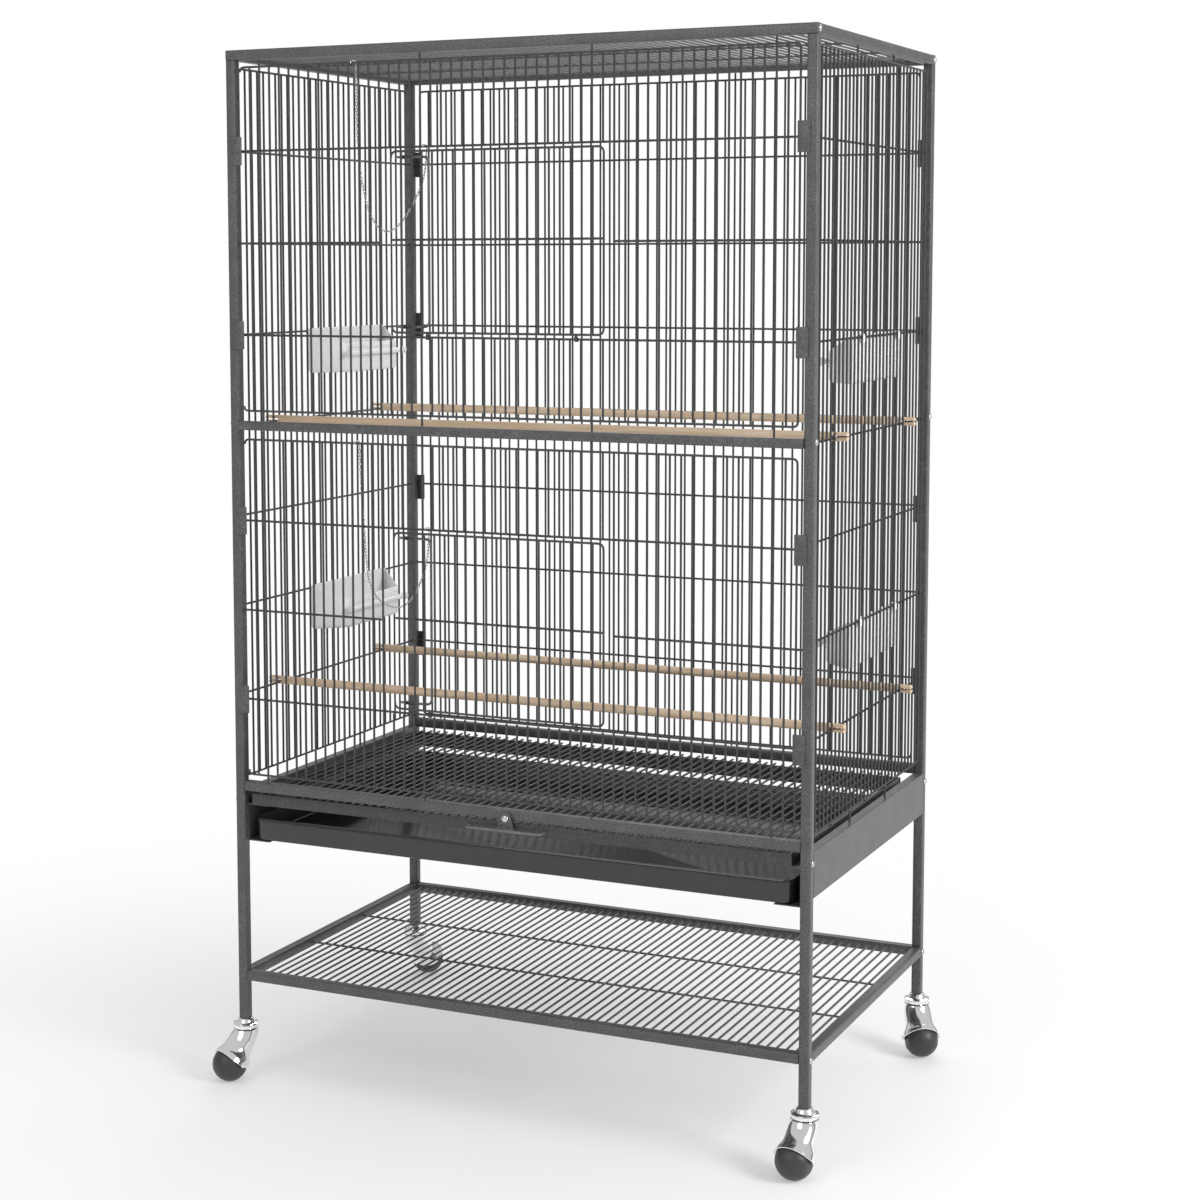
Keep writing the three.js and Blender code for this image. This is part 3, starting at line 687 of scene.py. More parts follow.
@dataclass
class Chain(SubAssembly):
    """The link chain hanging inside each door opening, both ends on the front panel.

    Attributes:
        y: the plane it hangs in.
        pitch: from one link to the next.
        link: half the link's length and half its width, to its wire's middle.
        wire: the link wire's radius.
    """

    y: float = -233.0
    pitch: float = 3.9
    link: tuple = (2.6, 1.05)
    wire: float = 0.42

    def build(self) -> None:
        for tier, route in CHAIN_ROUTES.items():
            self.build_chain(tier, route)

    def build_chain(self, tier: Tier, route: list) -> None:
        """Makes one chain of oval links, each turned a quarter from the last.

        Args:
            tier: the storey.
            route: (x, z) points of its hang.
        """
        line = curve_through([(x, self.y, z) for x, z in route], 600)
        steps = np.linalg.norm(np.diff(line, axis=0), axis=1)
        reach = np.concatenate([[0], np.cumsum(steps)])
        total = reach[-1]
        count = int(total / self.pitch)
        at = (np.arange(count) + 0.5) * total / count
        centre = np.stack([np.interp(at, reach, line[:, k]) for k in range(3)], -1)
        ahead = np.stack([np.interp(at + 1, reach, line[:, k]) for k in range(3)], -1) - centre
        ahead += 1e-6 * np.array([0, 0, 1.0])
        back = centre - np.stack([np.interp(at - 1, reach, line[:, k]) for k in range(3)], -1)
        ahead = ahead + back
        ahead /= np.linalg.norm(ahead, axis=1, keepdims=True)
        side = np.cross(ahead, [0.0, 1.0, 0.0])
        spin = np.where(np.arange(count) % 2, 0.25, 0.75)[:, None] * np.pi
        wide = np.cos(spin) * side + np.sin(spin) * np.array([0.0, 1.0, 0.0])
        thick = np.cross(ahead, wide)
        long, half = self.link
        oval = [(-long, -half, 0), (long, -half, 0), (long, half, 0), (-long, half, 0)]
        oval = bend(oval, 1.0, closed=True, steps=3)
        link = sweep(oval, circle(self.wire, 6), (0, 0, 1), closed=True)
        basis = np.stack([ahead, wide, thick], 1)
        rings = centre[:, None, None] + np.einsum("rsk,nkj->nrsj", link, basis)
        surface = Surface().add_rings(rings, closed=True)
        node = f"door_chain_{tier.value[0]}"
        chain = self.shop.publish(f"chain_{tier.value[0]}", surface, node, smooth=80)
        self.build_hooks(tier, line[0], line[-1])

    def build_hooks(self, tier: Tier, top: np.ndarray, low: np.ndarray) -> None:
        """Makes the two wire hooks that hold the chain to the panel's wires.

        Args:
            tier: the storey.
            top: the chain's upper end.
            low: the chain's lower end.
        """
        surface = Surface()
        wires = (SIZES.levels[0] - tier.value[1], SIZES.levels[1] - tier.value[1])
        fronts = (SIZES.front_y, SIZES.front_y + SIZES.layer)
        for end, wire_z, wire_y in zip((top, low), wires, fronts):
            x = end[0]
            corners = [
                (x, wire_y - 2.3, wire_z - 1), (x, wire_y - 2.3, wire_z + 2.3),
                (x, self.y, wire_z + 2.3), (x, self.y, end[2] - 1),
            ]  # fmt: skip
            surface.add_rings(sweep(bend(corners, 1.6), circle(0.7, 8), (1, 0, 0)))
        panel = f"front_panel_{tier.value[0]}"
        self.shop.publish(f"chain_hooks_{tier.value[0]}", surface, panel, "zinc", replaces=False, smooth=60)


# ---------------------------------------------------------------- frame


@dataclass
class StandFrame(SubAssembly):
    """Posts, rails, base sheets and the bolts that tie them.

    Attributes:
        foot: the posts' lower ends.
        head: the posts' upper ends.
        clip_levels: heights of the clips' middles.
        clip_half: half a clip's height.
        clip_place: the clips' distance from the cage's middle, across and in depth.
        bolt_levels: heights of the bolts.
        bolt_y: the bolts' distance from the middle, in depth.
    """

    foot: float = 80
    head: float = 1332.9
    clip_levels: tuple = (1218.2, 983.7, 743.8, 509.3)
    clip_half: float = 18
    clip_place: tuple = (379.5, 245.9)
    bolt_levels: tuple = (1339.5, 869, 374, 137)
    bolt_y: float = 238.8

    def build(self) -> None:
        """Makes the posts, the straight rails and the bolts."""
        for corner in Corner:
            self.build_post(corner)
        for node in ("mid_rail", "base_rail_front", "base_rail_back"):
            self.build_rail(node)
        self.build_bolts()

    def build_post(self, corner: Corner) -> None:
        """Makes one post with its four panel clips.

        Args:
            corner: the post's corner.
        """
        label, side_x, side_y, _ = corner.value
        x = side_x * (SIZES.half_w - SIZES.tube / 2)
        y = side_y * (SIZES.half_d - SIZES.tube / 2)
        surface = Surface().add_rings(bars([(x, y, self.foot, x, y, self.head)], TUBE_SECTION, 0.4))
        clip = rounded(2, 15, 0.7, 2)[:, ::-1][::-1]
        place = (side_x * self.clip_place[0], side_y * self.clip_place[1])
        clips = [(*place, z - self.clip_half, *place, z + self.clip_half) for z in self.clip_levels]
        surface.add_rings(bars(clips, clip, 0.5))
        self.shop.publish(f"tube_{label}", surface, f"post_{label}")

    def build_rail(self, node: str) -> None:
        """Makes a straight rail to its CAD node's box.

        Args:
            node: the rail.
        """
        low, high = (np.array(c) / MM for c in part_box(node))
        middle = (low + high) / 2
        section = rounded(high[2] - low[2], high[1] - low[1], SIZES.corner)
        ends = [(low[0], *middle[1:], high[0], *middle[1:])]
        self.shop.publish(f"{node}_tube", Surface().add_rings(bars(ends, section, 0.4)), node)

    def build_bolts(self) -> None:
        """Makes a pan-head bolt at each post and level on the cage's two sides."""
        profile = [(3.9, 0), (4.1, 0.5), (3.9, 1.2), (3.2, 1.9), (2.0, 2.4), (1.9, 2.0), (0.4, 1.9)]
        for corner in Corner:
            label, side_x, side_y, _ = corner.value
            surface = Surface()
            for z in self.bolt_levels:
                centre = (side_x * (SIZES.half_w - 0.05), side_y * self.bolt_y, z)
                surface.add_rings(lathe(profile, 20, centre, (side_x, 0, 0)))
            self.shop.publish(f"bolts_{label}", surface, f"post_{label}", "zinc", replaces=False)

    def dress(self) -> None:
        """Finishes the folded sheets, shown as they are in the CAD."""
        for side in ("left", "right"):
            self.shop.repaint(f"base_side_{side}")
            self.shop.repaint(f"tray_runner_{side}")
        self.shop.repaint("base_strap_back")


@dataclass
class GridPanel(SubAssembly):
    """A flat frame of four tubes with front-to-back bars and two cross wires: top and shelf.

    Attributes:
        node: the CAD node.
        base: the tubes' underside.
        bar_z: the bars' height.
        full: whether the front and back tubes run the cage's full width.
        half_bars: bars on each side of the middle one.
    """

    node: str
    base: float
    bar_z: float
    full: bool
    half_bars: int = 30

    def build(self) -> None:
        """Makes the tubes and wires."""
        z = self.base + SIZES.tube / 2
        in_w, in_d = SIZES.half_w - SIZES.tube, SIZES.half_d - SIZES.tube
        mid_w, mid_d = SIZES.half_w - SIZES.tube / 2, SIZES.half_d - SIZES.tube / 2
        long = SIZES.half_w if self.full else in_w - 0.3
        ends = [(-long, s * mid_d, z, long, s * mid_d, z) for s in (-1, 1)]
        ends += [(s * mid_w, 0.3 - in_d, z, s * mid_w, in_d - 0.3, z) for s in (-1, 1)]
        surface = Surface().add_rings(bars(ends, TUBE_SECTION, 0.4))
        xs = np.arange(-self.half_bars, self.half_bars + 1) * SIZES.grid_pitch
        wires = [(x, -in_d - 1, self.bar_z, x, in_d + 1, self.bar_z) for x in xs]
        low = self.bar_z - SIZES.layer
        wires += [(-in_w - 1, y, low, in_w + 1, y, low) for y in (-SIZES.cross_y, SIZES.cross_y)]
        surface.add_rings(bars(wires, WIRE_SECTION, 0.5))
        self.shop.publish(f"{self.node}_grid", surface, self.node)


# ---------------------------------------------------------------- wire panels and doors


@dataclass
class ClosedPanel(SubAssembly):
    """A full-height wire panel: the two sides and the back.

    Attributes:
        node: the CAD node.
        plane: where the panel stands.
        reach: from its middle to the posts' outer faces.
        end: half its width.
        pitch: its upright wires' pitch.
        pins: which uprights, counted from the middle one, run on into the rails.
        foot: how low the pins reach.
        head: how high the pins reach.
    """

    node: str
    plane: Plane
    reach: float
    end: float
    pitch: float
    pins: tuple
    foot: float
    head: float = 1332.8

    def build(self) -> None:
        """Makes the outline, uprights and levels."""
        top, bottom = SIZES.levels[0], SIZES.closed_bottom
        wide = self.reach - SIZES.tube - 0.4
        surface = Surface().add_rings(self.plane.loop(-self.end, self.end, bottom, top, SIZES.bend))
        count = round(self.end / self.pitch) - 1
        ends = []
        for k in range(-count, count + 1):
            u, pinned = k * self.pitch, abs(k) in self.pins
            low, high = (self.foot, self.head) if pinned else (bottom - 1, top + 1)
            ends.append((u, 0, low, u, 0, high))
        ends += [(-wide, SIZES.layer, z, wide, SIZES.layer, z) for z in SIZES.side_levels]
        surface.add_rings(self.plane.bars(ends, WIRE_SECTION, 0.5))
        self.shop.publish(f"{self.node}_wires", surface, self.node)


@dataclass
class FrontPanel(SubAssembly):
    """A front wire panel with a door opening.

    Attributes:
        tier: the storey.
        bottom: height of its lowest wire.
        pin_top: how high its pins reach.
        pin_bottom: how low its pins reach.
        pins: which uprights, counted from the middle one, run on into the rails.
        opening: the uprights on the opening's two sides.
        end: the outermost upright.
    """

    tier: Tier
    bottom: float
    pin_top: float
    pin_bottom: float
    pins: tuple = (8, 24)
    opening: tuple = (-12, 10)
    end: int = 26

    def build(self) -> None:
        """Makes the outline, the uprights cut at the opening, and the levels."""
        name, drop = self.tier.value
        top, second, third, fourth = (z - drop for z in SIZES.levels)
        pitch, wide = SIZES.front_pitch, SIZES.half_w - SIZES.tube - 0.4
        left, right = (k * pitch for k in self.opening)
        outline = FRONT.loop(-self.end * pitch, self.end * pitch, self.bottom, top, SIZES.bend)
        surface = Surface().add_rings(outline)
        ends = []
        for k in range(1 - self.end, self.end):
            u = k * pitch
            pinned = abs(k) in self.pins
            high = self.pin_top if pinned else top + 1
            low = self.pin_bottom if pinned else self.bottom - 1
            if self.opening[0] < k < self.opening[1]:
                ends += [(u, 0, second - 1, u, 0, high), (u, 0, low, u, 0, fourth - 1.2)]
            else:
                ends.append((u, 0, low, u, 0, high))
        v = SIZES.layer
        ends += [(-wide, v, second, wide, v, second), (-wide, v, fourth, wide, v, fourth)]
        ends += [(-wide, v, third, left, v, third), (right, v, third, wide, v, third)]
        surface.add_rings(FRONT.bars(ends, WIRE_SECTION, 0.5))
        self.shop.publish(f"front_wires_{name}", surface, f"front_panel_{name}")


@dataclass
class Door(SubAssembly):
    """A drop-down door with its hinge straps and sliding latch bail.

    Attributes:
        tier: the storey.
        left: its left side wire.
        pitch: its uprights' pitch.
        spaces: spaces between its uprights.
        strap_places: the hinge straps' middles.
        strap_wide: the straps' width.
        strap_round: the radius to which a strap is curled round the panel's wire.
        bail_v: how far behind the panel's uprights the bail slides.
        bail_inset: the bail's legs, in from the door's top and bottom wires.
        bail_ends: the legs' tips and the bail's upright.
        sleeve_ends: the sleeves' two ends.
    """

    tier: Tier
    left: float = -156.6
    pitch: float = 14.36
    spaces: int = 20
    strap_places: tuple = (-108.0, 93.6)
    strap_wide: float = 4
    strap_round: float = 2.6
    bail_v: float = 5.8
    bail_inset: float = 7
    bail_ends: tuple = (-153.5, -107)
    sleeve_ends: tuple = (-143.5, -132)

    def __post_init__(self) -> None:
        """Works out the heights of the door's wires and of its hinge."""
        drop = self.tier.value[1]
        self.top = SIZES.levels[1] - 5.2 - drop
        self.middle = SIZES.levels[2] + 3.2 - drop
        self.bottom = SIZES.levels[3] + 5.8 - drop
        self.axis = SIZES.levels[3] - drop

    def build(self) -> None:
        """Makes the door and its bail."""
        name = self.tier.value[0]
        right = self.left + self.spaces * self.pitch
        surface = Surface().add_rings(FRONT.loop(self.left, right, self.bottom, self.top, 8))
        uprights = [self.left + i * self.pitch for i in range(1, self.spaces)]
        ends = [(u, 0, self.bottom - 1, u, 0, self.top + 1) for u in uprights]
        ends.append((self.left, SIZES.layer, self.middle, right, SIZES.layer, self.middle))
        surface.add_rings(FRONT.bars(ends, WIRE_SECTION, 0.5))
        self.add_straps(surface)
        self.add_sleeves(surface)
        self.shop.publish(f"door_wires_{name}", surface, f"door_{name}")
        self.build_bail(name)

    def add_straps(self, surface: Surface) -> None:
        """Adds the sheet straps: down from the door's lowest wire and round the panel's wire in an arc.

        Args:
            surface: the door's surface.
        """
        angle = np.radians(np.linspace(-150, 150, 14))
        y = SIZES.front_y + SIZES.layer + self.strap_round * np.sin(angle)
        z = self.axis - self.strap_round * np.cos(angle)
        front = SIZES.front_y + 1.6
        for x in self.strap_places:
            curl = np.stack([np.full(len(angle), x), y, z], -1)
            fall = np.array([(x, front, self.bottom + 1.2), (x, front + 0.1, self.bottom - 1)])
            path = np.concatenate([fall, curl])
            surface.add_rings(sweep(path, rounded(self.strap_wide, 0.9, 0.3, 1), (1, 0, 0)))

    def add_sleeves(self, surface: Surface) -> None:
        """Adds the two short tubes on the door in which the bail's legs slide.

        Args:
            surface: the door's surface.
        """
        start, stop = self.sleeve_ends
        v = self.bail_v
        heights = (self.top - self.bail_inset, self.bottom + self.bail_inset)
        sleeves = [(start, v, z, stop, v, z) for z in heights]
        surface.add_rings(FRONT.bars(sleeves, circle(2.4, 12), 0.3))

    def build_bail(self, name: str) -> None:
        """Makes the U of wire: two legs to the left and an upright between them.

        Args:
            name: the storey's name.
        """
        y = SIZES.front_y + self.bail_v
        high, low = self.top - self.bail_inset, self.bottom + self.bail_inset
        tip, back = self.bail_ends
        path = bend([(tip, y, high), (back, y, high), (back, y, low), (tip, y, low)], 8)
        surface = Surface().add_rings(sweep(path, circle(1.6, 10), (0, 1, 0)))
        self.shop.publish(f"bail_{name}", surface, f"door_latch_{name}", smooth=60)


# ---------------------------------------------------------------- tray, grate, perches, feeders


def plan(x0: float, x1: float, y0: float, y1: float, radius: float) -> np.ndarray:
    """A rectangle's rounded outline.

    Args:
        x0: its left side.
        x1: its right side.
        y0: its front.
        y1: its back.
        radius: its corners' radius.

    Returns:
        Outline (sides, 2).
    """
    return rounded(x1 - x0, y1 - y0, radius, 6) + [(x0 + x1) / 2, (y0 + y1) / 2]


@dataclass
class Tray(SubAssembly):
    """The slide-out litter tray: an open pan with a rolled rim."""

    def build(self) -> None:
        """Makes the pan from plans stacked up its outside, over its rim and down its inside."""
        low, high = (np.array(c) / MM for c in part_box("tray"))
        z0, z1 = low[2], high[2]
        outside = [(5, z0), (2.2, z0 + 1), (1.2, z0 + 4), (1.0, z1 - 5)]
        rim = [(0, z1 - 4.5), (0, z1 - 1), (0.8, z1), (3.4, z1), (4.0, z1 - 1)]
        steps = outside + rim + [(4.2, z0 + 6), (5.5, z0 + 3.4), (9, z0 + 2.4)]
        plans = [plan(low[0] + i, high[0] - i, low[1] + i, high[1] - i, 14 - min(i, 6)) for i, _ in steps]
        surface = Surface().add_rings(loft(plans, [z for _, z in steps]))
        self.shop.publish("tray_pan", surface, "tray", smooth=50)


@dataclass
class Grate(SubAssembly):
    """The slide-out floor grate with its handle, latch plate and rivet.

    Attributes:
        pitch: the bars' pitch.
        half_bars: bars on each side of the middle one.
        bar_z: the bars' height.
        bar_end: the bars' back ends.
        front: the front strip's middle.
        rear: the rear strip's middle.
        side: the side strips' distance from the middle.
        strip: lowest and highest edges of the strips.
        tongue_y: the tongue's middle.
        pull: half the pull's width, its front and its height.
        rivet_z: the rivet's height.
        plate_round: radius of the latch plate's head.
    """

    pitch: float = 12.5
    half_bars: int = 29
    bar_z: float = 382.6
    bar_end: float = 224
    front: float = -242.25
    rear: float = 205.75
    side: float = 369.8
    strip: tuple = (369.3, 384.2)
    tongue_y: float = -247.1
    pull: tuple = (52, -257, 376)
    rivet_z: float = 389.5
    plate_round: float = 8

    def build(self) -> None:
        """Makes the grate and its fittings."""
        self.build_grate()
        self.build_handle()
        self.build_latch()

    def build_grate(self) -> None:
        """Makes the sheet sides, the bars, the cross wires and the tongue that holds the latch."""
        low, high = (np.array(c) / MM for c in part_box("grate"))
        middle, tall = sum(self.strip) / 2, self.strip[1] - self.strip[0]
        sheet = rounded(tall, 1.5, 0.5, 2)
        ends = [(low[0], y, middle, high[0], y, middle) for y in (self.front, self.rear)]
        surface = Surface().add_rings(bars(ends, sheet, 0.4))
        start, stop = self.front + 1, self.rear - 0.75
        sides = [(s * self.side, start, middle, s * self.side, stop, middle) for s in (-1, 1)]
        surface.add_rings(bars(sides, sheet, 0.4))
        xs = np.arange(-self.half_bars, self.half_bars + 1) * self.pitch
        wires = [(x, self.front, self.bar_z, x, self.bar_end, self.bar_z) for x in xs]
        reach, cross_z = self.side - 0.8, self.bar_z - SIZES.layer
        wires += [(-reach, y, cross_z, reach, y, cross_z) for y in (-SIZES.cross_y, SIZES.cross_y)]
        surface.add_rings(bars(wires, WIRE_SECTION, 0.5))
        y = self.tongue_y
        surface.add_rings(bars([(0, y, 376.5, 0, y, 396)], rounded(13, 1.2, 0.4, 1), 0.3))
        surface.add_rings(bars([(0, y, 377, 0, self.front - 0.25, 377)], rounded(1.4, 12, 0.4, 1), 0.3))
        self.shop.publish("grate_wires", surface, "grate")

    def build_handle(self) -> None:
        """Makes the wire pull: a shallow U standing forward of the front strip."""
        half, out, z = self.pull
        back = self.front - 0.95
        corners = [(-half, back, z), (-half, out, z), (half, out, z), (half, back, z)]
        surface = Surface().add_rings(sweep(bend(corners, 7), circle(1.9, 12), (0, 0, 1)))
        self.shop.publish("pull_wire", surface, "grate_handle", slot="bail_coat", smooth=60)

    def build_latch(self) -> None:
        """Makes the swinging latch plate and the rivet it hangs on."""
        angle = np.linspace(0, np.pi, 15)
        arc = self.plate_round * np.stack([np.cos(angle), np.sin(angle)], -1) + [0, self.rivet_z]
        outline = np.concatenate([[(-12.2, 373), (12.2, 373), (13, 373.9)], arc, [(-13, 373.9)]])
        centre = outline.mean(0)
        front = -249.2
        steps = [(1.2, 0.98), (1.0, 1), (0.2, 1), (0, 0.98)]
        flats = [centre + (outline - centre) * shrink for _, shrink in steps]
        depths = [np.full(len(outline), front + depth) for depth, _ in steps]
        rings = np.stack([np.stack([f[:, 0], y, f[:, 1]], -1) for f, y in zip(flats, depths)])
        self.shop.publish("latch_sheet", Surface().add_rings(rings), "grate_latch_plate")
        shank = [(2.2, -2.5), (2.2, 0.3)]
        head = [(4.4, 0.3), (4.6, 0.8), (4.2, 1.5), (3.0, 2.1), (1.2, 2.4), (0.3, 2.4)]
        surface = Surface().add_rings(lathe(shank + head, 24, (0, front, self.rivet_z), (0, -1, 0)))
        self.shop.publish("latch_rivet_head", surface, "grate_latch_rivet")


@dataclass
class Perches(SubAssembly):
    """Four wooden dowels across the cage, each end sawn with a level kerf for the side wire.

    Attributes:
        kerf_x: where the kerf begins, from the middle.
        radius: the dowel's radius.
    """

    kerf_x: float = 384.0
    radius: float = 5.5

    def half_round(self, up: int) -> np.ndarray:
        """The dowel's section above or below the kerf: an arc closed by its chord.

        Args:
            up: 1 above the kerf, -1 below it.

        Returns:
            Outline (15, 2).
        """
        angle = np.radians(np.linspace(14, 166, 15))
        half = self.radius * np.stack([np.sin(angle), -np.cos(angle)], -1)
        return half if up > 0 else -half

    def build(self) -> None:
        """Makes each dowel to its CAD node's box, with eased ends."""
        for level in ("upper", "lower"):
            for side in ("front", "back"):
                node = f"perch_{level}_{side}"
                low, high = (np.array(c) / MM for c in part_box(node))
                y, z = (low[1] + high[1]) / 2, (low[2] + high[2]) / 2
                whole = [(2 - self.kerf_x, y, z, self.kerf_x - 2, y, z)]
                surface = Surface().add_rings(bars(whole, circle(self.radius, 28), 0.2))
                for s in (-1, 1):
                    ends = (s * (self.kerf_x - 3), y, z, s * high[0], y, z)
                    surface.add_rings(bars([ends], self.half_round(1), 0.7))
                    surface.add_rings(bars([ends], self.half_round(-1), 0.7))
                self.shop.publish(f"dowel_{level}_{side}", surface, node, smooth=40)


@dataclass
class Feeders(SubAssembly):
    """Four plastic cups hooked over the side panels' wires.

    Attributes:
        offset: from the panel's middle to a cup's, towards the back.
        back: half the cup's length at the wires.
        front: half its length at its front, inside the cage.
        depth: its nearest and farthest walls, from the wires.
        slope: how much lower the rim is at the front.
        rod_v: the landing rod's distance from the wires.
    """

    offset: float = 37.5
    back: float = 105.5
    front: float = 71.5
    depth: tuple = (4.3, 46.3)
    slope: float = 22
    rod_v: float = 53.3

    def build(self) -> None:
        """Makes the four cups."""
        for level, z in (("upper", 983.7), ("lower", 632)):
            for name, plane in (("left", LEFT), ("right", RIGHT)):
                self.build_cup(f"feeder_{level}_{name}", plane, z)

    def outline(self, inset: float, corner: float) -> np.ndarray:
        """The cup's plan in (u, v): long at the wire side, short inside, with round corners.

        Args:
            inset: how far inside the outer wall.
            corner: the corners' radius.

        Returns:
            Outline (sides, 2).
        """
        back, front = self.back - inset, self.front - inset * 0.8
        v0, v1 = self.depth[0] + inset, self.depth[1] - inset
        corners = np.array([(-back, v0, 0), (back, v0, 0), (front, v1, 0), (-front, v1, 0)])
        return bend(corners, corner, closed=True, steps=5)[:, :2]

    def build_cup(self, node: str, plane: Plane, wire_z: float) -> None:
        """Makes one cup, its landing rod and its hooks.

        Args:
            node: the CAD node.
            plane: the side panel's plane.
            wire_z: height of the wire it hangs on.
        """
        middle = self.offset if plane is RIGHT else -self.offset
        bottom, top = wire_z - 56.6, wire_z + 3.4
        outside = [(3, 0, False), (1, 1.2, False), (0, 4, False)]
        rim = [(0, 0, True), (0.6, 0.6, True), (1.6, 0.6, True), (2, 0, True)]
        inside = [(2.2, 5, False), (4, 2.4, False)]
        near, far = self.depth
        rings = []
        for inset, rise, on_rim in outside + rim + inside:
            flat = self.outline(inset, 5 if inset < 2 else 3.5)
            edge = top - self.slope * (flat[:, 1] - near) / (far - near)
            height = edge + rise if on_rim else np.full(len(flat), bottom + rise)
            rings.append(np.concatenate([flat + [middle, 0], height[:, None]], 1))
        surface = Surface().add_rings(plane.place(np.stack(rings)))
        rod_z = bottom + 26
        rod = [(middle - 76, self.rod_v, rod_z, middle + 76, self.rod_v, rod_z)]
        surface.add_rings(plane.bars(rod, circle(3.6, 16), 1.2))
        for side in (-1, 1):
            self.add_fittings(surface, plane, middle, side, wire_z, rod_z)
        self.add_ribs(surface, plane, middle, bottom)
        self.shop.publish(f"{node}_cup", surface, node, smooth=40)

    def add_fittings(
        self,
        surface: Surface,
        plane: Plane,
        middle: float,
        side: int,
        wire_z: float,
        rod_z: float,
    ) -> None:
        """Adds one hook, one rod arm and one end knob.

        Args:
            surface: the cup's surface.
            plane: the side panel's plane.
            middle: the cup's middle along the panel.
            side: which end of the cup, -1 or 1.
            wire_z: height of the wire it hangs on.
            rod_z: height of the landing rod.
        """
        u = middle + side * 75
        hook = [(u, 5.5, wire_z + 2.6), (u, 0.4, wire_z + 2.6), (u, 0.4, wire_z - 6)]
        path = plane.place(bend(hook, 1.4))
        across = plane.place([1, 0, 0]) - plane.place([0, 0, 0])
        surface.add_rings(sweep(path, rounded(8, 1.5, 0.5, 1), across))
        arm_u = middle + side * 59.5
        arm = [(arm_u, 45, rod_z, arm_u, self.rod_v, rod_z)]
        surface.add_rings(plane.bars(arm, rounded(4.5, 6, 1), 1.0))
        knob = [(middle + side * 74, self.rod_v, rod_z, middle + side * 79, self.rod_v, rod_z)]
        surface.add_rings(plane.bars(knob, circle(5.2, 16), 1.0))

    def add_ribs(self, surface: Surface, plane: Plane, middle: float, bottom: float) -> None:
        """Adds the ledge strips along the cup's front.

        Args:
            surface: the cup's surface.
            plane: the side panel's plane.
            middle: the cup's middle along the panel.
            bottom: the cup's underside.
        """
        v = self.depth[1] - 0.1
        for rise, thick in ((20, 3), (34, 2.4)):
            ledge = [(middle - 68, v, bottom + rise, middle + 68, v, bottom + rise)]
            surface.add_rings(plane.bars(ledge, rounded(thick, 3, 0.8, 2), 0.8))


# ---------------------------------------------------------------- casters


